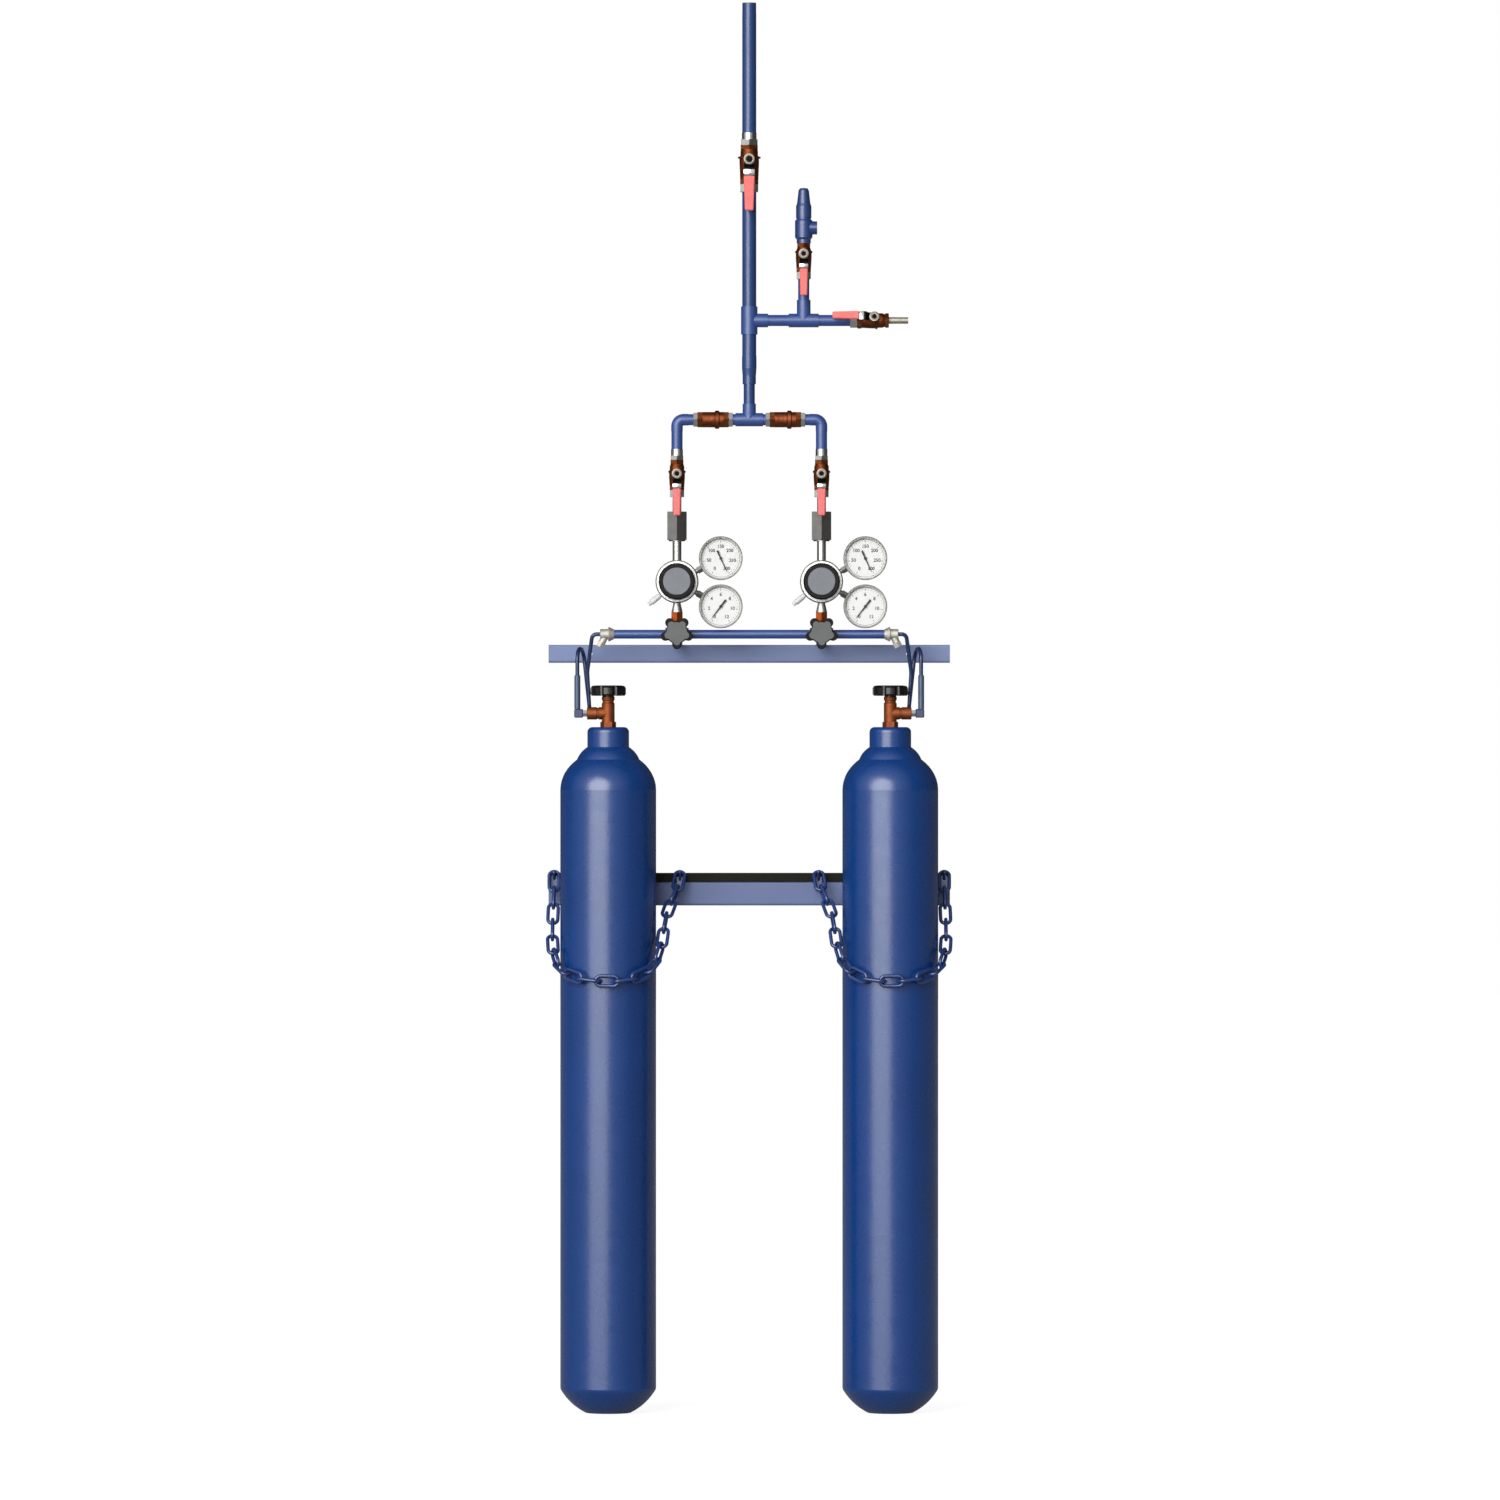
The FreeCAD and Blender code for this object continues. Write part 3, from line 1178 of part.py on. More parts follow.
X_WAY = V(1, 0, 0)
Z_WAY = V(0, 0, 1)
collector_tee = tee(V(0, 0, RUN_Z), X_WAY, TEE_HALF, FIT_M, Z_WAY, TEE_UP, FIT_M, PIPE_M, PIPE_M_BORE, SOCKET)
branch_tee = tee(V(0, 0, BRANCH_Z), Z_WAY, BRANCH_HALF, BRANCH_R, X_WAY, BRANCH_SIDE, FIT_V, PIPE_L, PIPE_L_BORE, 13.0)
vent_tee = tee(V(VENT_X, 0, BRANCH_Z), X_WAY, VENT_HALF, FIT_V, Z_WAY, VENT_UP, FIT_V, PIPE_M, PIPE_M_BORE, SOCKET)
save("tees", collector_tee, branch_tee, vent_tee)

# Reducer between the lower riser and the main riser.
reducer_top = REDUCER_Z + REDUCER_H
reducer = turned(
    [
        (PIPE_M + SLIP, REDUCER_Z),
        (FIT_M, REDUCER_Z),
        (FIT_M, REDUCER_Z + 20),
        (PIPE_L + 0.6, REDUCER_Z + 38),
        (PIPE_L + 0.6, reducer_top),
        (PIPE_L_BORE, reducer_top),
        (PIPE_L_BORE, REDUCER_Z + 38),
        (PIPE_M_BORE, REDUCER_Z + 20),
        (PIPE_M_BORE, REDUCER_Z + SOCKET),
        (PIPE_M + SLIP, REDUCER_Z + SOCKET),
    ]
)
save("riser_reducer", reducer)

# Riser pipes, from the collector tee to the open supply end.
turned_low = RISER_TOP - RISER_TURNED_LEN
supply = pipe(PIPE_L, PIPE_L_BORE, V(0, 0, MAIN_BALL[1] - SOCKET), V(0, 0, RISER_TOP))
supply = supply.cut(pipe(PIPE_L + 1, PIPE_L - TURNED_STEP, V(0, 0, turned_low), V(0, 0, RISER_TOP + 1)))
save(
    "riser_pipes",
    pipe(PIPE_M, PIPE_M_BORE, V(0, 0, RUN_Z + TEE_UP - SOCKET), V(0, 0, REDUCER_Z + SOCKET)),
    pipe(PIPE_L, PIPE_L_BORE, V(0, 0, reducer_top), V(0, 0, BRANCH_Z - BRANCH_HALF + 13)),
    pipe(PIPE_L, PIPE_L_BORE, V(0, 0, BRANCH_Z + BRANCH_HALF - 13), V(0, 0, MAIN_BALL[0] + SOCKET)),
    supply,
)

# Leg, collector and branch pipes.
line = []
check_seat = check_body - SOCKET + 1
for s in (-1, 1):
    line.append(pipe(PIPE_S, PIPE_S_BORE, V(s * LEG_X, 0, ARR_TOP - SOCKET), V(s * LEG_X, 0, LEG_VALVE[0] + SOCKET)))
    line.append(pipe(PIPE_M, PIPE_M_BORE, V(s * LEG_X, 0, LEG_VALVE[1] - SOCKET), V(s * LEG_X, 0, RUN_Z - ELBOW_LEG)))
    line.append(pipe(PIPE_M, PIPE_M_BORE, V(s * (LEG_X - ELBOW_LEG), 0, RUN_Z), V(s * (CHECK_X + check_seat), 0, RUN_Z)))
    line.append(pipe(PIPE_M, PIPE_M_BORE, V(s * (CHECK_X - check_seat), 0, RUN_Z), V(s * (TEE_HALF - SOCKET), 0, RUN_Z)))
line.append(pipe(PIPE_M, PIPE_M_BORE, V(BRANCH_SIDE - SOCKET, 0, BRANCH_Z), V(VENT_X - VENT_HALF + SOCKET, 0, BRANCH_Z)))
line.append(pipe(PIPE_M, PIPE_M_BORE, V(VENT_X + VENT_HALF - SOCKET, 0, BRANCH_Z), V(VENT_BALL[0] + SOCKET, 0, BRANCH_Z)))
line.append(pipe(PIPE_M, PIPE_M_BORE, V(VENT_X, 0, BRANCH_Z + VENT_UP - SOCKET), V(VENT_X, 0, SAFETY_BALL[0] + SOCKET)))
save("line_pipes", *line)


# Safety valve: a turned body with a spring bonnet and a side outlet.
def safety_valve():
    base = SAFETY_BALL[1]
    outline = [
        (0, base - SOCKET),
        (PIPE_M, base - SOCKET),
        (PIPE_M, base),
        (17, base),
        (17, base + 9),
        (21, base + 14),
        (21, base + 54),
        (17.5, base + 57),
        (17.5, base + 60),
        (18.5, base + 61),
        (18.5, SAFETY_TOP - 44),
        (16, SAFETY_TOP - 37),
        (12.5, SAFETY_TOP - 6),
        (9, SAFETY_TOP - 1),
        (0, SAFETY_TOP),
    ]
    body = turned(outline, V(VENT_X, 0, 0))
    turned_x = SAFETY_OUT_X - SAFETY_TURNED_LEN
    outlet = fused(
        rod(SAFETY_OUT_R, V(VENT_X, 0, SAFETY_OUT_Z), V(turned_x, 0, SAFETY_OUT_Z)),
        rod(SAFETY_OUT_R - TURNED_STEP, V(turned_x, 0, SAFETY_OUT_Z), V(SAFETY_OUT_X, 0, SAFETY_OUT_Z)),
    )
    inlet_bore = rod(8.0, V(VENT_X, 0, base - SOCKET), V(VENT_X, 0, SAFETY_OUT_Z))
    outlet_bore = rod(12.0, V(VENT_X, 0, SAFETY_OUT_Z), V(SAFETY_OUT_X, 0, SAFETY_OUT_Z))
    return fused(body, outlet).cut(fused(inlet_bore, outlet_bore))


save("safety_valve", safety_valve())

# Vent nozzle: a plain spout from the vent valve.
nozzle_start = VENT_BALL[1] - SOCKET
nozzle_len = NOZZLE_END - nozzle_start
nozzle = turned(
    [
        (5, 0),
        (NOZZLE_R, 0),
        (NOZZLE_R, nozzle_len - NOZZLE_TURNED_LEN),
        (NOZZLE_R - TURNED_STEP, nozzle_len - NOZZLE_TURNED_LEN),
        (NOZZLE_R - TURNED_STEP, nozzle_len),
        (5, nozzle_len),
    ],
    V(nozzle_start, 0, BRANCH_Z),
    V(1, 0, 0),
)
save("vent_nozzle", nozzle)
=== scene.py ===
import bpy
import bmesh
import json
import math
import numpy as np
from mathutils import Matrix, Vector


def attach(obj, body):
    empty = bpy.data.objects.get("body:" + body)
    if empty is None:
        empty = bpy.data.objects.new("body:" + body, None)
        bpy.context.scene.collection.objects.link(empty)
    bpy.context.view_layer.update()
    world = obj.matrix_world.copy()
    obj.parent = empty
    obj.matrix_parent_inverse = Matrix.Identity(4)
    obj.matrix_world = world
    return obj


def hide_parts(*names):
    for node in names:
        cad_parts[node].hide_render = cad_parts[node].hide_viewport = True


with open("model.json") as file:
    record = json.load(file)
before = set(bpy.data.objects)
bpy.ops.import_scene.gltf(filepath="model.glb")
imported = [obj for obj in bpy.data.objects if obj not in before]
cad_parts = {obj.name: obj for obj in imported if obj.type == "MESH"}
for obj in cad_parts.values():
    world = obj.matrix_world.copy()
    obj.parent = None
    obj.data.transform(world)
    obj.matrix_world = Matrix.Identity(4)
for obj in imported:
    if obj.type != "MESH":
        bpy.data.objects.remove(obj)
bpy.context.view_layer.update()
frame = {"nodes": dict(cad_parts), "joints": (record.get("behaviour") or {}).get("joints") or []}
print("frame loaded:", len(frame["nodes"]), "nodes")

quarterTurn = math.radians(90)
smoothAngle = math.radians(40)
weldDistance = 1e-6
# Turns what was modelled lying flat so that it faces the viewer.
standUp = Matrix.Rotation(quarterTurn, 4, "X")

# Nearly all of a noise lies between these values, so a range of looks is spread over them.
noiseLow, noiseHigh = 0.3, 0.7
driftDetail = 3.0


# Colours are sRGB hex values, turned to the linear values that shaders want.
def linear(code):
    parts = []
    for i in (0, 2, 4):
        c = int(code[i:i + 2], 16) / 255
        parts.append(c / 12.92 if c <= 0.04045 else ((c + 0.055) / 1.055) ** 2.4)
    return (*parts, 1.0)


# Adds one node to a material or the world; an input that is given a socket becomes a link.
def addNode(owner, kind, inputs=None, **settings):
    node = owner.node_tree.nodes.new(kind)
    for name, value in settings.items():
        setattr(node, name, value)
    for name, value in (inputs or {}).items():
        if isinstance(value, bpy.types.NodeSocket):
            owner.node_tree.links.new(value, node.inputs[name])
        else:
            node.inputs[name].default_value = value
    return node


def newMaterial(name):
    material = bpy.data.materials.new(name)
    material.use_nodes = True
    material.node_tree.nodes.clear()
    return material


# A material with the Object coordinates that its patterns follow.
def newFinish(name):
    material = newMaterial(name)
    return material, addNode(material, "ShaderNodeTexCoord").outputs["Object"]


# A noise whose spots are about sizeMm across.
def spots(material, place, sizeMm, detail=driftDetail):
    scale = 1000.0 / sizeMm
    noise = addNode(material, "ShaderNodeTexNoise", {"Vector": place, "Scale": scale, "Detail": detail})
    return noise.outputs["Fac"]


# Two close tones that drift into each other over about driftMm.
def tones(material, place, driftMm, first, second):
    drift = spots(material, place, driftMm)
    share = addNode(
        material,
        "ShaderNodeMapRange",
        {"Value": drift, "From Min": noiseLow, "From Max": noiseHigh, "To Min": 0.0, "To Max": 1.0},
    )
    mix = addNode(
        material,
        "ShaderNodeMix",
        {"Factor": share.outputs["Result"], "A": linear(first), "B": linear(second)},
        data_type="RGBA",
    )
    return mix.outputs["Result"]


# Joins a colour, a roughness that varies with the wear pattern, and a relief into the surface.
def surface(material, colour, wear, roughness, relief, depthMm, more):
    roughLow, roughHigh = roughness
    worn = addNode(
        material,
        "ShaderNodeMapRange",
        {"Value": wear, "From Min": noiseLow, "From Max": noiseHigh, "To Min": roughLow, "To Max": roughHigh},
    )
    bump = addNode(material, "ShaderNodeBump", {"Height": relief, "Distance": depthMm / 1000})
    inputs = {"Base Color": colour, "Roughness": worn.outputs["Result"], "Normal": bump.outputs["Normal"]}
    shader = addNode(material, "ShaderNodeBsdfPrincipled", {**inputs, **more})
    addNode(material, "ShaderNodeOutputMaterial", {"Surface": shader.outputs["BSDF"]})
    return material


# Sprayed enamel on steel: an even colour, a soft gloss and a faint orange peel.
enamelSpray = {"glossSpotsMm": 40, "roughSpread": 0.03, "peelDetail": 1.0, "peelDepthMm": 0.02}


def enamel(name, coat):
    material, place = newFinish(name)
    colour = tones(material, place, coat["driftMm"], coat["colour"], coat["shade"])
    wear = spots(material, place, enamelSpray["glossSpotsMm"])
    roughness = (coat["rough"] - enamelSpray["roughSpread"], coat["rough"] + enamelSpray["roughSpread"])
    peel = spots(material, place, coat["peelMm"], enamelSpray["peelDetail"])
    more = {"Specular IOR Level": coat["gloss"]}
    return surface(material, colour, wear, roughness, peel, enamelSpray["peelDepthMm"], more)


# Machined, drawn or cast metal: a clean colour whose grain shows in both gloss and relief.
metalGrain = {"detail": 4.0, "roughFrom": 0.9, "roughTo": 1.1}


def metal(name, stock):
    material, place = newFinish(name)
    colour = tones(material, place, stock["driftMm"], stock["colour"], stock["shade"])
    grain = spots(material, place, stock["grainMm"], metalGrain["detail"])
    roughness = (stock["rough"] * metalGrain["roughFrom"], stock["rough"] * metalGrain["roughTo"])
    return surface(material, colour, grain, roughness, grain, stock["grainDepthMm"], {"Metallic": 1.0})


# Moulded, painted or printed: one colour, a fine spark-eroded grain and a low gloss.
mouldGrain = {"detail": 2.0, "roughDown": 0.04, "roughUp": 0.05}


def moulding(name, resin):
    material, place = newFinish(name)
    colour = tones(material, place, resin["driftMm"], resin["colour"], resin["shade"])
    grain = spots(material, place, resin["grainMm"], mouldGrain["detail"])
    roughness = (resin["rough"] - mouldGrain["roughDown"], resin["rough"] + mouldGrain["roughUp"])
    more = {"Specular IOR Level": resin["gloss"]}
    return surface(material, colour, grain, roughness, grain, resin["grainDepthMm"], more)


# Two-shot moulding: a black body whose raised front plate, past frontY, is grey.
capMould = {
    "bodyDriftMm": 30,
    "faceDriftMm": 25,
    "grainMm": 1.2,
    "grainDepthMm": 0.02,
    "roughness": (0.38, 0.5),
    "gloss": 0.15,
}


def cappedMoulding(name, cap):
    material, place = newFinish(name)
    grain = spots(material, place, capMould["grainMm"], mouldGrain["detail"])
    depth = addNode(material, "ShaderNodeSeparateXYZ", {"Vector": place}).outputs["Y"]
    front = addNode(material, "ShaderNodeMath", {0: depth, 1: cap["frontY"]}, operation="LESS_THAN")
    body = tones(material, place, capMould["bodyDriftMm"], cap["body"], cap["bodyShade"])
    face = tones(material, place, capMould["faceDriftMm"], cap["face"], cap["faceShade"])
    mix = addNode(
        material,
        "ShaderNodeMix",
        {"Factor": front.outputs["Value"], "A": body, "B": face},
        data_type="RGBA",
    )
    more = {"Specular IOR Level": capMould["gloss"]}
    colour = mix.outputs["Result"]
    return surface(material, colour, grain, capMould["roughness"], grain, capMould["grainDepthMm"], more)


# Clear acrylic: the dial shows straight through it, and its gloss grows towards a slanting view.
lensGloss = {"roughness": 0.08, "edgeBlend": 0.1}


def acrylicLens(name):
    material = newMaterial(name)
    clear = addNode(material, "ShaderNodeBsdfTransparent", {"Color": linear("ffffff")}).outputs["BSDF"]
    gloss = addNode(
        material,
        "ShaderNodeBsdfGlossy",
        {"Color": linear("ffffff"), "Roughness": lensGloss["roughness"]},
    ).outputs["BSDF"]
    edge = addNode(material, "ShaderNodeLayerWeight", {"Blend": lensGloss["edgeBlend"]}).outputs["Facing"]
    mix = addNode(material, "ShaderNodeMixShader", {0: edge, 1: clear, 2: gloss}).outputs["Shader"]
    addNode(material, "ShaderNodeOutputMaterial", {"Surface": mix})
    return material


enamels = {
    # Steel shells in deep blue enamel: wet gloss, so one broad pale stripe runs down each.
    "cylinderEnamel": {
        "colour": "043c82", "shade": "03387a", "driftMm": 180, "rough": 0.28, "gloss": 0.8, "peelMm": 7,
    },
    # Enamelled pipe and fittings: a lighter blue with a softer, wider sheen.
    "pipeEnamel": {
        "colour": "2c4c90", "shade": "274687", "driftMm": 120, "rough": 0.4, "gloss": 0.9, "peelMm": 5,
    },
    # The riser's enamel: darker, with a narrow bright line down the pipe.
    "riserEnamel": {
        "colour": "26437c", "shade": "223e74", "driftMm": 150, "rough": 0.28, "gloss": 0.6, "peelMm": 5,
    },
    # Powder coat on the upper channel: pale blue grey and nearly matt.
    "railPowderCoat": {
        "colour": "808eb6", "shade": "7b89b0", "driftMm": 150, "rough": 0.55, "gloss": 0.3, "peelMm": 3,
    },
    # The lower channel's powder coat, a tone darker.
    "lowerRailPowderCoat": {
        "colour": "6c79a1", "shade": "68749b", "driftMm": 150, "rough": 0.55, "gloss": 0.3, "peelMm": 3,
    },
    # Enamelled pigtail tube and elbow block: navy with a thin highlight.
    "pigtailEnamel": {
        "colour": "152c5c", "shade": "11254e", "driftMm": 60, "rough": 0.3, "gloss": 0.6, "peelMm": 4,
    },
    # Crimped sleeve in a greyer paint, so it stands out from its tube.
    "sleeveEnamel": {
        "colour": "3f5376", "shade": "394c6c", "driftMm": 40, "rough": 0.4, "gloss": 0.7, "peelMm": 4,
    },
    # Dipped welded chain: glossy blue, each link with its own glint.
    "chainEnamel": {
        "colour": "1f3d7c", "shade": "183269", "driftMm": 30, "rough": 0.3, "gloss": 0.9, "peelMm": 3,
    },
    # Painted safety valve: smooth and glossy over the turned steps.
    "safetyEnamel": {
        "colour": "233f79", "shade": "1f3a70", "driftMm": 60, "rough": 0.32, "gloss": 0.8, "peelMm": 4,
    },
}
metals = {
    # Sand-cast brass: copper brown, dull, with a coarse skin.
    "castBrass": {
        "colour": "9c5936", "shade": "8a4c2c", "driftMm": 14,
        "rough": 0.62, "grainMm": 1.6, "grainDepthMm": 0.05,
    },
    # Machined copper alloy: orange and brighter than the castings.
    "copperNut": {
        "colour": "c4602a", "shade": "a04e22", "driftMm": 12,
        "rough": 0.34, "grainMm": 1.0, "grainDepthMm": 0.03,
    },
    # Cast bronze ball valve: dark brown and mottled.
    "bronzeBody": {
        "colour": "7d4526", "shade": "613218", "driftMm": 9,
        "rough": 0.5, "grainMm": 1.8, "grainDepthMm": 0.07,
    },
    # Cast bronze check valve: redder, with a rougher skin.
    "checkBronze": {
        "colour": "8c4c2f", "shade": "6c3820", "driftMm": 8,
        "rough": 0.5, "grainMm": 2.2, "grainDepthMm": 0.08,
    },
    # Turned bright steel: a clear mirror with only a trace of tool marks.
    "turnedSteel": {
        "colour": "cbccc7", "shade": "bebfba", "driftMm": 20,
        "rough": 0.24, "grainMm": 2.5, "grainDepthMm": 0.006,
    },
    # Zinc-plated washer: a warm, half-bright grey.
    "washerZinc": {
        "colour": "837b73", "shade": "766f68", "driftMm": 6,
        "rough": 0.42, "grainMm": 1.0, "grainDepthMm": 0.01,
    },
    # Chromed steel: nearly white, with sharp reflections.
    "chromedSteel": {
        "colour": "d6d7d6", "shade": "cacbca", "driftMm": 30,
        "rough": 0.16, "grainMm": 0.8, "grainDepthMm": 0.01,
    },
    # Plated hexagon bar: mid grey, so each flat keeps its own tone.
    "platedArrestor": {
        "colour": "858381", "shade": "777573", "driftMm": 20,
        "rough": 0.36, "grainMm": 1.2, "grainDepthMm": 0.03,
    },
    # Blasted steel end fitting: pale and almost without reflections.
    "inletSteel": {
        "colour": "cecbc4", "shade": "bcb9b1", "driftMm": 14,
        "rough": 0.66, "grainMm": 1.0, "grainDepthMm": 0.03,
    },
    # Machined aluminium casting: silver with a soft satin sheen.
    "castAluminium": {
        "colour": "cfcfcd", "shade": "c3c3c1", "driftMm": 14,
        "rough": 0.4, "grainMm": 1.2, "grainDepthMm": 0.04,
    },
    # Pressed steel gauge case: an even satin grey.
    "caseSteel": {
        "colour": "8e8f8b", "shade": "878884", "driftMm": 25,
        "rough": 0.45, "grainMm": 2.5, "grainDepthMm": 0.004,
    },
    # Sintered bronze beads: a rough ochre, drawn coarse enough to show.
    "sinteredBronze": {
        "colour": "8a6f4a", "shade": "73593a", "driftMm": 4,
        "rough": 0.6, "grainMm": 0.6, "grainDepthMm": 0.15,
    },
    # Turned stainless poppet: plain and fairly bright.
    "stainlessPoppet": {
        "colour": "a0a0a0", "shade": "949494", "driftMm": 10,
        "rough": 0.3, "grainMm": 0.8, "grainDepthMm": 0.02,
    },
    # Zinc-plated bolts: light grey with a slight bloom.
    "zincBolt": {
        "colour": "a8a8a8", "shade": "9c9c98", "driftMm": 8,
        "rough": 0.36, "grainMm": 0.8, "grainDepthMm": 0.03,
    },
    # Lever bar near black: partly the black of its hub nut, partly painted shade for the bend below the hub;
    # a dull sheen on its bends.
    "leverBlackAndPaintedShade": {
        "colour": "181716", "shade": "121111", "driftMm": 12,
        "rough": 0.5, "grainMm": 0.9, "grainDepthMm": 0.03,
    },
    # Unpolished nickel-plated spout: a yellowish grey.
    "nozzleMetal": {
        "colour": "b2ae9f", "shade": "a6a293", "driftMm": 16,
        "rough": 0.56, "grainMm": 0.9, "grainDepthMm": 0.02,
    },
}
mouldings = {
    # Phenolic handwheel: deep black with a tight, bright glint.
    "blackPhenolic": {
        "colour": "060606", "shade": "0a0a09", "driftMm": 25,
        "rough": 0.26, "gloss": 0.5, "grainMm": 3.0, "grainDepthMm": 0.008,
    },
    # Dipped vinyl grip: coral red and softly matt.
    "vinylGrip": {
        "colour": "f57f7d", "shade": "f0756f", "driftMm": 22,
        "rough": 0.5, "gloss": 0.35, "grainMm": 1.2, "grainDepthMm": 0.05,
    },
    # A black strip along the lower rail's top: rough and without any glint.
    "blackRailStrip": {
        "colour": "1a1910", "shade": "15140c", "driftMm": 40,
        "rough": 0.75, "gloss": 0.2, "grainMm": 1.4, "grainDepthMm": 0.08,
    },
    # Enamelled dial plate: a clean, flat white.
    "printedDial": {
        "colour": "f4f4f1", "shade": "efefec", "driftMm": 40,
        "rough": 0.6, "gloss": 0.3, "grainMm": 1.0, "grainDepthMm": 0.005,
    },
    # Screen-printed ink: dark grey and matt.
    "dialInk": {
        "colour": "4c4c4b", "shade": "444443", "driftMm": 10,
        "rough": 0.6, "gloss": 0.2, "grainMm": 0.8, "grainDepthMm": 0.01,
    },
    # Painted needle: a tone darker than the print under it.
    "needlePaint": {
        "colour": "343433", "shade": "2c2c2b", "driftMm": 10,
        "rough": 0.5, "gloss": 0.3, "grainMm": 0.8, "grainDepthMm": 0.01,
    },
    # White nylon relief cap: a soft off-white.
    "whiteRelief": {
        "colour": "dededb", "shade": "d2d2cf", "driftMm": 10,
        "rough": 0.4, "gloss": 0.5, "grainMm": 1.0, "grainDepthMm": 0.03,
    },
}
# The star knob's raised face is a neutral grey, the regulator knob's a bluish one.
starCap = {
    "body": "07080b", "bodyShade": "0a0b10", "face": "707171", "faceShade": "6a6b6b", "frontY": -0.0533,
}
regulatorCap = {
    "body": "101011", "bodyShade": "161617", "face": "888b90", "faceShade": "82858a", "frontY": -0.0545,
}

finishes = {}
for name, coat in enamels.items():
    finishes[name] = enamel(name, coat)
for name, stock in metals.items():
    finishes[name] = metal(name, stock)
for name, resin in mouldings.items():
    finishes[name] = moulding(name, resin)
finishes["starKnobMoulding"] = cappedMoulding("starKnobMoulding", starCap)
finishes["regulatorKnobMoulding"] = cappedMoulding("regulatorKnobMoulding", regulatorCap)
finishes["acrylicLens"] = acrylicLens("acrylicLens")

nodeFinishes = {
    "cylinderEnamel": ["cylinder_left", "cylinder_right", "neck_rings"],
    "castBrass": ["cylinder_valves", "master_valve_bodies"],
    "blackPhenolic": ["handwheel_left", "handwheel_right"],
    "turnedSteel": ["regulator_outlets", "gland_nuts"],
    "chromedSteel": ["pigtail_nuts"],
    "pigtailEnamel": ["pigtail_left", "pigtail_right"],
    "sleeveEnamel": ["pigtail_sleeves"],
    "inletSteel": ["header_inlets"],
    "pipeEnamel": ["header_pipes", "line_pipes", "elbows", "tees"],
    "riserEnamel": ["riser_pipes", "riser_reducer"],
    "starKnobMoulding": ["star_knob_left", "star_knob_right"],
    "regulatorKnobMoulding": ["regulator_knob_left", "regulator_knob_right"],
    "railPowderCoat": ["header_rail", "header_brackets"],
    "lowerRailPowderCoat": ["cylinder_rail"],
    "blackRailStrip": ["rail_pad"],
    "zincBolt": ["bracket_bolts"],
    "chainEnamel": ["chain_left", "chain_right", "chain_anchors"],
    "copperNut": ["regulator_inlets"],
    "castAluminium": ["regulator_bodies"],
    "whiteRelief": ["relief_valves"],
    "caseSteel": ["gauge_cases"],
    "printedDial": ["gauge_dials"],
    "acrylicLens": ["gauge_lenses"],
    "needlePaint": ["pointer_left_high", "pointer_left_low", "pointer_right_high", "pointer_right_low"],
    "platedArrestor": ["arrestors"],
    "sinteredBronze": ["arrestor_elements"],
    "bronzeBody": ["ball_valve_bodies"],
    "checkBronze": ["check_valves"],
    "stainlessPoppet": ["check_poppet_left", "check_poppet_right"],
    "safetyEnamel": ["safety_valve"],
    "nozzleMetal": ["vent_nozzle"],
    # The levers' near black is partly painted shade for the bends below their hubs.
    "leverBlackAndPaintedShade": ["lever_leg_left", "lever_leg_right", "lever_safety", "lever_vent", "lever_main"],
    "vinylGrip": ["grip_leg_left", "grip_leg_right", "grip_safety", "grip_vent", "grip_main"],
}
for finish, names in nodeFinishes.items():
    for name in names:
        slots = frame["nodes"][name].data.materials
        slots.clear()
        slots.append(finishes[finish])
dressedCount = sum(len(names) for names in nodeFinishes.values())
print("finishes made:", len(finishes), "nodes dressed:", dressedCount, "of", len(frame["nodes"]))


def deselect():
    if bpy.context.object and bpy.context.object.mode == "EDIT":
        bpy.ops.object.mode_set(mode="OBJECT")
    bpy.ops.object.select_all(action="DESELECT")


# The separate solids of a CAD node, each as an array of its points.
def solidsOf(node):
    work = bmesh.new()
    work.from_mesh(frame["nodes"][node].data)
    bmesh.ops.remove_doubles(work, verts=work.verts, dist=weldDistance)
    seen = set()
    solids = []
    for start in work.verts:
        if start in seen:
            continue
        seen.add(start)
        found = [start]
        # The list grows while it is walked, until it holds the whole solid.
        for vert in found:
            for edge in vert.link_edges:
                other = edge.other_vert(vert)
                if other not in seen:
                    seen.add(other)
                    found.append(other)
        solids.append(np.array([vert.co[:] for vert in found]))
    work.free()
    return solids


# Joins a finished piece from its parts, with its place in its mesh and its object at the origin.
def settle(pieces, name, finish, body):
    deselect()
    for piece in pieces:
        piece.select_set(True)
    bpy.context.view_layer.objects.active = pieces[0]
    if len(pieces) > 1:
        bpy.ops.object.join()
    whole = bpy.context.object
    bpy.ops.object.transform_apply(location=True, rotation=True, scale=True)
    whole.name = name
    whole.data.name = name
    whole.data.materials.clear()
    whole.data.materials.append(finishes[finish])
    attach(whole, body)
    return whole


# Eases the edges; one segment leaves a chamfer, more a rounded edge.
def soften(piece, width, segments):
    deselect()
    piece.select_set(True)
    bpy.context.view_layer.objects.active = piece
    bevel = piece.modifiers.new("edge", "BEVEL")
    bevel.width = width
    bevel.segments = segments
    bevel.limit_method = "ANGLE"
    bpy.ops.object.modifier_apply(modifier="edge")
    bpy.ops.object.shade_smooth_by_angle(angle=smoothAngle)


# Chain links: a ring pulled out lengthwise, modelled once and copied for each link of the CAD chain.
chainLink = {"wireRadius": 0.0043, "width": 0.0326, "length": 0.0626, "wireSteps": 16, "ringSteps": 40}
middleWidth = 1e-5


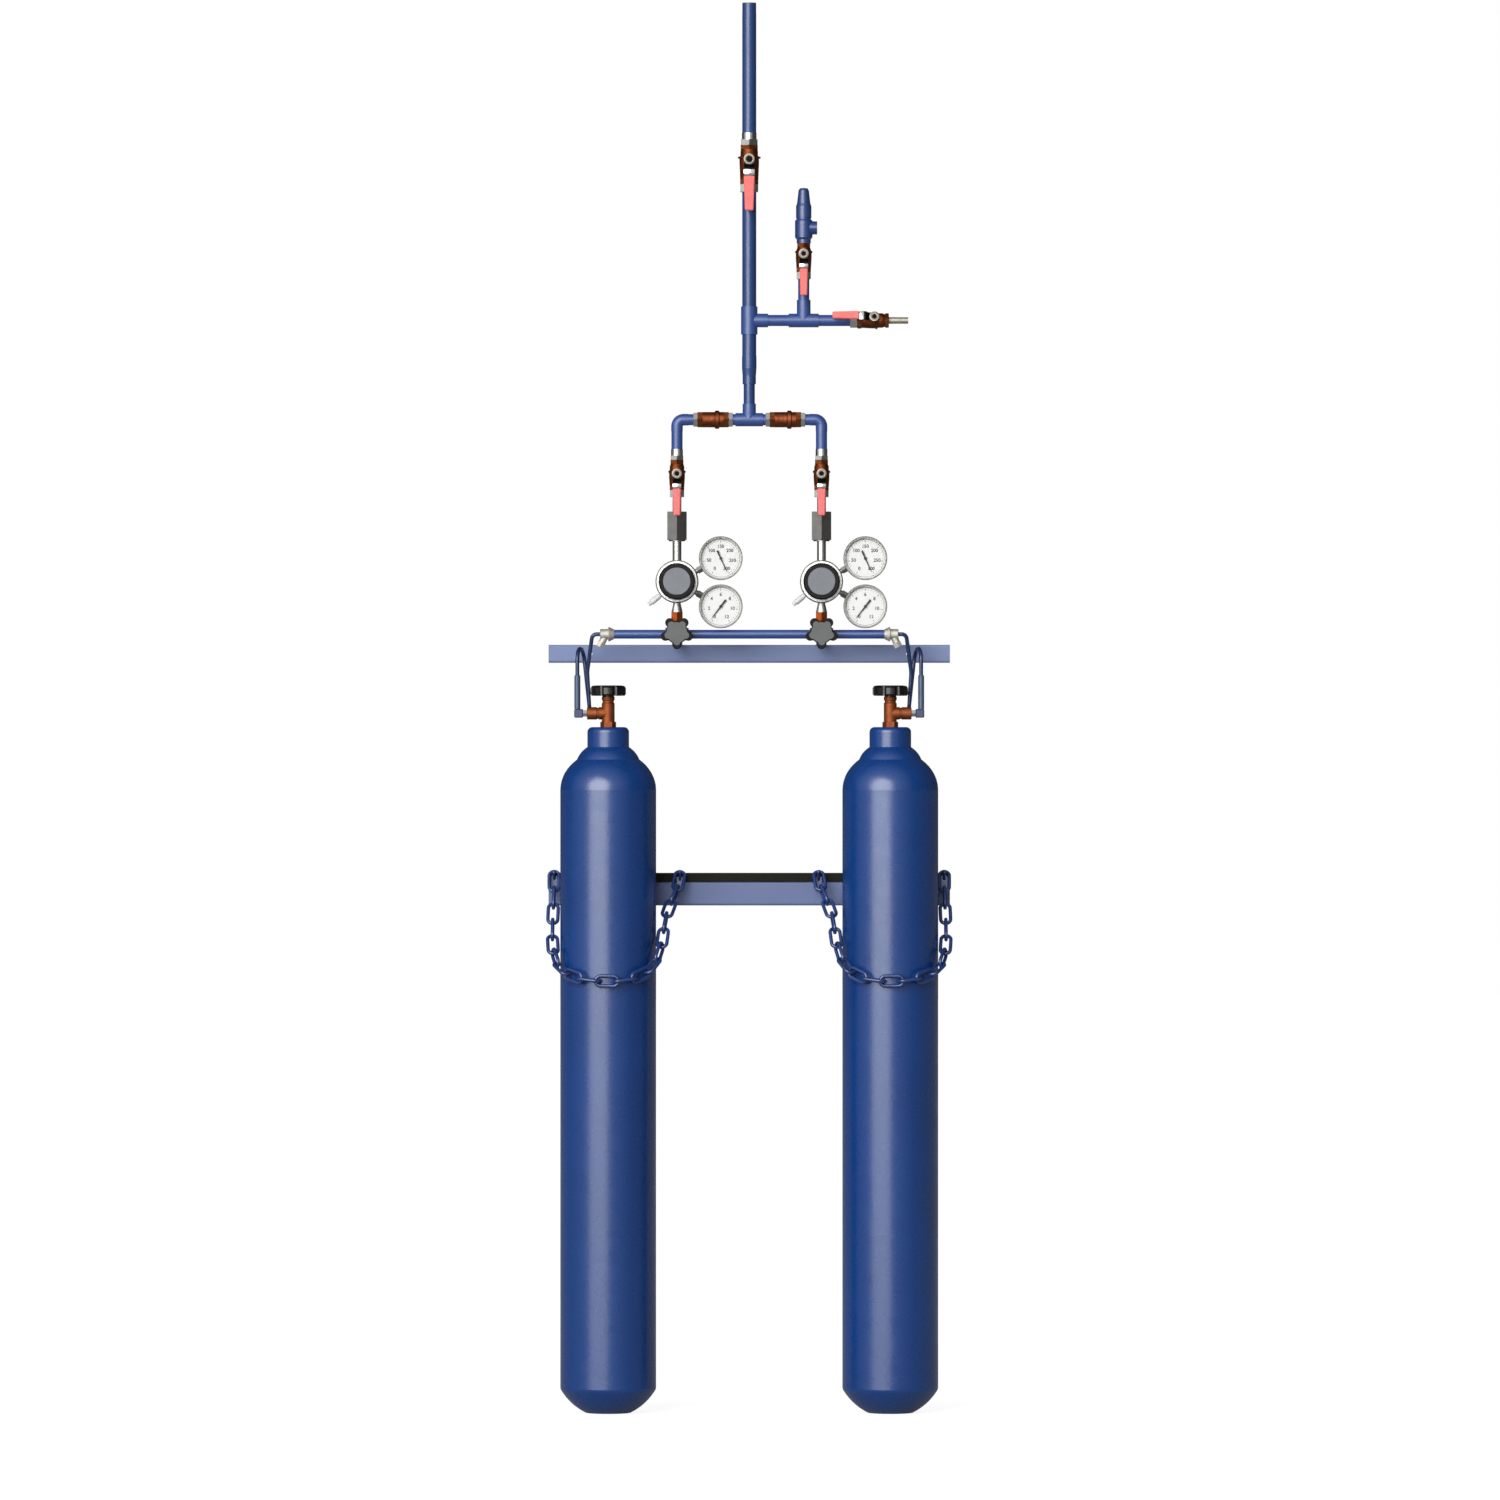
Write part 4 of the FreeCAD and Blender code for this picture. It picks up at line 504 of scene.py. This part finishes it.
def makeLink():
    deselect()
    bpy.ops.mesh.primitive_torus_add(
        major_segments=chainLink["ringSteps"],
        minor_segments=chainLink["wireSteps"],
        major_radius=chainLink["width"] / 2 - chainLink["wireRadius"],
        minor_radius=chainLink["wireRadius"],
    )
    link = bpy.context.object
    bpy.ops.object.mode_set(mode="EDIT")
    straight = (chainLink["length"] - chainLink["width"]) / 2
    for side in (1, -1):
        bpy.ops.mesh.select_all(action="DESELECT")
        work = bmesh.from_edit_mesh(link.data)
        for vert in work.verts:
            vert.select = vert.co.x * side > middleWidth
        work.select_flush(True)
        bmesh.update_edit_mesh(link.data)
        bpy.ops.transform.translate(value=(side * straight, 0, 0))
    bpy.ops.object.mode_set(mode="OBJECT")
    bpy.ops.object.shade_smooth()
    return link


# Each link takes its place and its turn from the spread of the CAD link's points.
def layChain(node, name):
    link = makeLink()
    placed = []
    for points in solidsOf(node):
        middle = points.mean(0)
        axes = np.linalg.eigh(np.cov((points - middle).T))[1]
        along, across = Vector(axes[:, 2]), Vector(axes[:, 1])
        turn = Matrix((along, across, along.cross(across))).transposed().to_4x4()
        copy = link.copy()
        copy.data = link.data.copy()
        bpy.context.scene.collection.objects.link(copy)
        copy.matrix_world = Matrix.Translation(Vector(middle)) @ turn
        placed.append(copy)
    bpy.data.objects.remove(link, do_unlink=True)
    chain = settle(placed, name, "chainEnamel", "manifold")
    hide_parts(node)
    return len(placed)


linkCount = layChain("chain_left", "chainLinksLeft")
layChain("chain_right", "chainLinksRight")
print("chains laid:", linkCount, "links each")

# Dial printing: scale marks and numbers round each gauge face, lifted just off it.
dialPrint = {
    "zeroDeg": 240,
    "sweepDeg": 300,
    "marksPerNumber": 5,
    "markRadius": 0.0425,
    "longMark": 0.0050,
    "shortMark": 0.0028,
    "longWidth": 0.0011,
    "shortWidth": 0.0005,
    "lift": 0.00025,
    "numberRadius": 0.0285,
    "numberHeight": 0.0112,
    "numberBold": 0.00028,
    "curveSteps": 3,
    "ringRadius": 0.0458,
    "ringWidth": 0.0008,
    "ringSteps": 96,
}
highNumbers = ["0", "50", "100", "150", "200", "250", "300"]
lowNumbers = ["0", "2", "4", "6", "8", "10", "12"]
endFacing = 0.9


# A flat ring about Z, made from a disc with its middle taken out.
def makeRing(outer, inner, thick, steps):
    deselect()
    bpy.ops.mesh.primitive_cylinder_add(vertices=steps, radius=outer, depth=thick, end_fill_type="NGON")
    ring = bpy.context.object
    bpy.ops.object.mode_set(mode="EDIT")
    bpy.ops.mesh.select_all(action="DESELECT")
    work = bmesh.from_edit_mesh(ring.data)
    for face in work.faces:
        face.select = abs(face.normal.z) > endFacing
    bmesh.update_edit_mesh(ring.data)
    bpy.ops.mesh.inset(thickness=outer - inner, depth=0)
    bpy.ops.mesh.bridge_edge_loops()
    bpy.ops.object.mode_set(mode="OBJECT")
    return ring


def printMark(centre, angle, length, width):
    deselect()
    bpy.ops.mesh.primitive_plane_add(size=1.0)
    mark = bpy.context.object
    bpy.ops.object.mode_set(mode="EDIT")
    bpy.ops.mesh.extrude_region_move(TRANSFORM_OT_translate={"value": (0, 0, 1)})
    bpy.ops.object.mode_set(mode="OBJECT")
    turn = standUp @ Matrix.Rotation(angle, 4, "Z")
    size = Matrix.Diagonal((length, width, dialPrint["lift"], 1))
    reach = dialPrint["markRadius"] - length / 2
    mark.matrix_world = Matrix.Translation(centre) @ turn @ Matrix.Translation((reach, 0, 0)) @ size
    return mark


def printNumber(centre, angle, text):
    deselect()
    bpy.ops.object.text_add()
    number = bpy.context.object
    number.data.body = text
    number.data.size = dialPrint["numberHeight"]
    number.data.align_x = "CENTER"
    number.data.align_y = "CENTER"
    number.data.extrude = dialPrint["lift"] / 2
    number.data.offset = dialPrint["numberBold"]
    number.data.resolution_u = dialPrint["curveSteps"]
    bpy.ops.object.convert(target="MESH")
    number = bpy.context.object
    reach = dialPrint["numberRadius"]
    place = centre + Vector((reach * math.cos(angle), -dialPrint["lift"] / 2, reach * math.sin(angle)))
    number.matrix_world = Matrix.Translation(place) @ standUp
    return number


def printDial(points, name, numbers):
    low, high = points.min(0), points.max(0)
    centre = Vector(((low[0] + high[0]) / 2, low[1], (low[2] + high[2]) / 2))
    ringInner = dialPrint["ringRadius"] - dialPrint["ringWidth"]
    ring = makeRing(dialPrint["ringRadius"], ringInner, dialPrint["lift"], dialPrint["ringSteps"])
    onFace = Matrix.Translation((0, -dialPrint["lift"] / 2, 0))
    ring.matrix_world = Matrix.Translation(centre) @ onFace @ standUp
    marks = [ring]
    perNumber = dialPrint["marksPerNumber"]
    steps = (len(numbers) - 1) * perNumber
    for i in range(steps + 1):
        angle = math.radians(dialPrint["zeroDeg"] - dialPrint["sweepDeg"] * i / steps)
        numbered = i % perNumber == 0
        length = dialPrint["longMark"] if numbered else dialPrint["shortMark"]
        width = dialPrint["longWidth"] if numbered else dialPrint["shortWidth"]
        marks.append(printMark(centre, angle, length, width))
        if numbered:
            marks.append(printNumber(centre, angle, numbers[i // perNumber]))
    dial = settle(marks, name, "dialInk", "manifold")


# Left before right, and the high pressure gauge above before the low one.
dials = sorted(solidsOf("gauge_dials"), key=lambda p: (p[:, 0].mean(), -p[:, 2].mean()))
for points, name in zip(dials, ("LeftHigh", "LeftLow", "RightHigh", "RightLow")):
    printDial(points, "dialPrint" + name, highNumbers if name.endswith("High") else lowNumbers)
print("dials printed:", len(dials))

# Gauge glasses: round windows with a chamfered rim, set a hair off the ledge that they rest on.
gaugeGlass = {"seatGap": 0.00015, "rimBevel": 0.0006, "rimSegments": 1, "rimSteps": 96}


def makeGlass(points):
    low, high = points.min(0), points.max(0)
    back = high[1] - gaugeGlass["seatGap"]
    deselect()
    bpy.ops.mesh.primitive_cylinder_add(
        vertices=gaugeGlass["rimSteps"],
        radius=(high[0] - low[0]) / 2,
        depth=back - low[1],
        location=((low[0] + high[0]) / 2, (low[1] + back) / 2, (low[2] + high[2]) / 2),
        rotation=(quarterTurn, 0, 0),
    )
    glass = bpy.context.object
    soften(glass, gaugeGlass["rimBevel"], gaugeGlass["rimSegments"])
    return glass


glasses = [makeGlass(points) for points in solidsOf("gauge_lenses")]
glass = settle(glasses, "gaugeGlasses", "acrylicLens", "manifold")
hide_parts("gauge_lenses")
print("gauge glasses set:", len(glasses))

# Lever trim: a zinc washer on each hub, and a bright ferrule where the grip begins.
# hubY and plateY are how far the hub's face and the bar's face stand off the pipe's axis.
leverTrim = {
    "small": {
        "hubY": 0.0331,
        "washerOut": 0.0122,
        "washerIn": 0.0050,
        "plateY": 0.0431,
        "ferruleFrom": 0.0245,
        "ferruleTo": 0.0358,
        "ferruleWidth": 0.0212,
    },
    "large": {
        "hubY": 0.0371,
        "washerOut": 0.0134,
        "washerIn": 0.0071,
        "plateY": 0.0471,
        "ferruleFrom": 0.0250,
        "ferruleTo": 0.0408,
        "ferruleWidth": 0.0265,
    },
}
trimWasher = {"thick": 0.0012, "steps": 48, "bevel": 0.0004}
trimFerrule = {"wall": 0.0007, "plateThick": 0.0030, "bevel": 0.0012}
trimSeat = 0.0001
roundSegments = 2


def makeWasher(trim):
    washer = makeRing(trim["washerOut"], trim["washerIn"], trimWasher["thick"], trimWasher["steps"])
    soften(washer, trimWasher["bevel"], roundSegments)
    return washer


def makeFerrule(trim):
    deselect()
    bpy.ops.mesh.primitive_cube_add(size=1.0)
    ferrule = bpy.context.object
    thick = trimFerrule["plateThick"] + 2 * trimFerrule["wall"]
    ferrule.scale = (trim["ferruleWidth"], thick, trim["ferruleTo"] - trim["ferruleFrom"])
    bpy.ops.object.transform_apply(scale=True)
    soften(ferrule, trimFerrule["bevel"], roundSegments)
    return ferrule


def trimLever(joint):
    body = joint["child"]
    trim = leverTrim["large" if body == "lever_main" else "small"]
    hinge = Vector(joint["axis"]).normalized()
    # At rest the vent valve's lever points left, and the others point down.
    down = Vector((-1, 0, 0)) if body == "lever_vent" else Vector((0, 0, -1))
    turn = Matrix((down.cross(hinge), hinge, -down)).transposed().to_4x4()
    here = Matrix.Translation(Vector(joint["pos_m"])) @ turn
    washer = makeWasher(trim)
    washerY = -trim["hubY"] - trimWasher["thick"] / 2 + trimSeat
    washer.matrix_world = here @ Matrix.Translation((0, washerY, 0)) @ standUp
    ferrule = makeFerrule(trim)
    ferruleY = -trim["plateY"] + trimFerrule["plateThick"] / 2 - trimSeat
    ferruleZ = -(trim["ferruleFrom"] + trim["ferruleTo"]) / 2
    ferrule.matrix_world = here @ Matrix.Translation((0, ferruleY, ferruleZ))
    settle([washer], body.replace("lever_", "leverWasher_"), "washerZinc", body)
    settle([ferrule], body.replace("lever_", "leverFerrule_"), "chromedSteel", body)


for joint in frame["joints"]:
    if joint["name"].startswith("lever_"):
        trimLever(joint)
print("lever trim fitted")

# Stage: a pale floor that stays white to the camera and keeps soft shadows.
floorLook = {"half": 40.0, "drop": 0.0005, "colour": "a0a0a0", "glow": 0.86, "mirrored": 0.1}
deselect()
bpy.ops.mesh.primitive_plane_add(size=2 * floorLook["half"], location=(0, 0, -floorLook["drop"]))
floor = bpy.context.object
floor.name = "floor"
paleFloor = newMaterial("paleFloor")
ray = addNode(paleFloor, "ShaderNodeLightPath").outputs
share = {0: ray["Is Glossy Ray"], 1: floorLook["mirrored"]}
mirror = addNode(paleFloor, "ShaderNodeMath", share, operation="MULTIPLY")
seen = addNode(
    paleFloor,
    "ShaderNodeMath",
    {0: ray["Is Camera Ray"], 1: mirror.outputs["Value"]},
    operation="ADD",
)
glow = addNode(
    paleFloor,
    "ShaderNodeMath",
    {0: seen.outputs["Value"], 1: floorLook["glow"]},
    operation="MULTIPLY",
)
matt = addNode(paleFloor, "ShaderNodeBsdfDiffuse", {"Color": linear(floorLook["colour"])})
shine = addNode(
    paleFloor,
    "ShaderNodeEmission",
    {"Color": linear("ffffff"), "Strength": glow.outputs["Value"]},
)
both = addNode(paleFloor, "ShaderNodeAddShader", {0: matt.outputs["BSDF"], 1: shine.outputs["Emission"]})
addNode(paleFloor, "ShaderNodeOutputMaterial", {"Surface": both.outputs["Shader"]})
floor.data.materials.append(paleFloor)

# A broad soft sun from just left of the camera puts one pale stripe down each round part.
sun = {"azimuthDeg": -23, "elevationDeg": 14, "strength": 3.4, "angleDeg": 50}
lampData = bpy.data.lights.new("softSun", "SUN")
lampData.energy = sun["strength"]
lampData.angle = math.radians(sun["angleDeg"])
lamp = bpy.data.objects.new("softSun", lampData)
bpy.context.scene.collection.objects.link(lamp)
azimuth, elevation = math.radians(sun["azimuthDeg"]), math.radians(sun["elevationDeg"])
flat = math.cos(elevation)
towards = Vector((math.sin(azimuth) * flat, -math.cos(azimuth) * flat, math.sin(elevation)))
lamp.rotation_mode = "QUATERNION"
lamp.rotation_quaternion = towards.to_track_quat("Z", "Y")

# The world is white to the camera. It lights mostly from behind, where the sun doesn't reach,
# and metal mirrors a bright patch round the sun in a dark room.
# The facing values run from -1, away from the sun, to 1, straight at it.
worldLook = {
    "behindFacing": -1.0,
    "sideFacing": 0.2,
    "sunFacing": 0.95,
    "behindLight": 0.8,
    "frontLight": 0.2,
    "darkMirrored": 0.05,
    "sunMirrored": 1.0,
}
world = bpy.data.worlds.new("studio")
bpy.context.scene.world = world
world.use_nodes = True
world.node_tree.nodes.clear()
ray = addNode(world, "ShaderNodeLightPath").outputs
shown = addNode(
    world,
    "ShaderNodeMath",
    {0: ray["Is Camera Ray"], 1: ray["Is Transmission Ray"]},
    operation="ADD",
    use_clamp=True,
).outputs["Value"]
way = addNode(world, "ShaderNodeTexCoord").outputs["Generated"]
facing = addNode(
    world, "ShaderNodeVectorMath", {0: way, 1: towards}, operation="DOT_PRODUCT"
).outputs["Value"]
mirrored = addNode(
    world,
    "ShaderNodeMapRange",
    {
        "Value": facing,
        "From Min": worldLook["sideFacing"],
        "From Max": worldLook["sunFacing"],
        "To Min": worldLook["darkMirrored"],
        "To Max": worldLook["sunMirrored"],
    },
).outputs["Result"]
diffuse = addNode(
    world,
    "ShaderNodeMapRange",
    {
        "Value": facing,
        "From Min": worldLook["behindFacing"],
        "From Max": worldLook["sideFacing"],
        "To Min": worldLook["behindLight"],
        "To Max": worldLook["frontLight"],
    },
).outputs["Result"]
indirect = addNode(
    world, "ShaderNodeMix", {"Factor": ray["Is Glossy Ray"], "A": diffuse, "B": mirrored}
).outputs["Result"]
level = addNode(world, "ShaderNodeMix", {"Factor": shown, "A": indirect, "B": 1.0}).outputs["Result"]
sky = addNode(world, "ShaderNodeBackground", {"Color": linear("ffffff"), "Strength": level})
addNode(world, "ShaderNodeOutputWorld", {"Surface": sky.outputs["Background"]})

# The picture is a flat elevation, so the camera stands far off with a long lens.
shot = {
    "widthM": 3.600,
    "centreX": 0.0018,
    "centreZ": 1.5900,
    "distance": 24.0,
    "clipEnd": 200,
    "sensorMm": 36.0,
}
cameraData = bpy.data.cameras.new("elevation")
cameraData.sensor_width = shot["sensorMm"]
cameraData.lens = shot["sensorMm"] * shot["distance"] / shot["widthM"]
cameraData.clip_end = shot["clipEnd"]
camera = bpy.data.objects.new("elevation", cameraData)
bpy.context.scene.collection.objects.link(camera)
camera.location = (shot["centreX"], -shot["distance"], shot["centreZ"])
camera.rotation_euler = (quarterTurn, 0, 0)
bpy.context.scene.camera = camera
bpy.context.scene.view_settings.view_transform = "Standard"
print("stage, lamp and camera set")
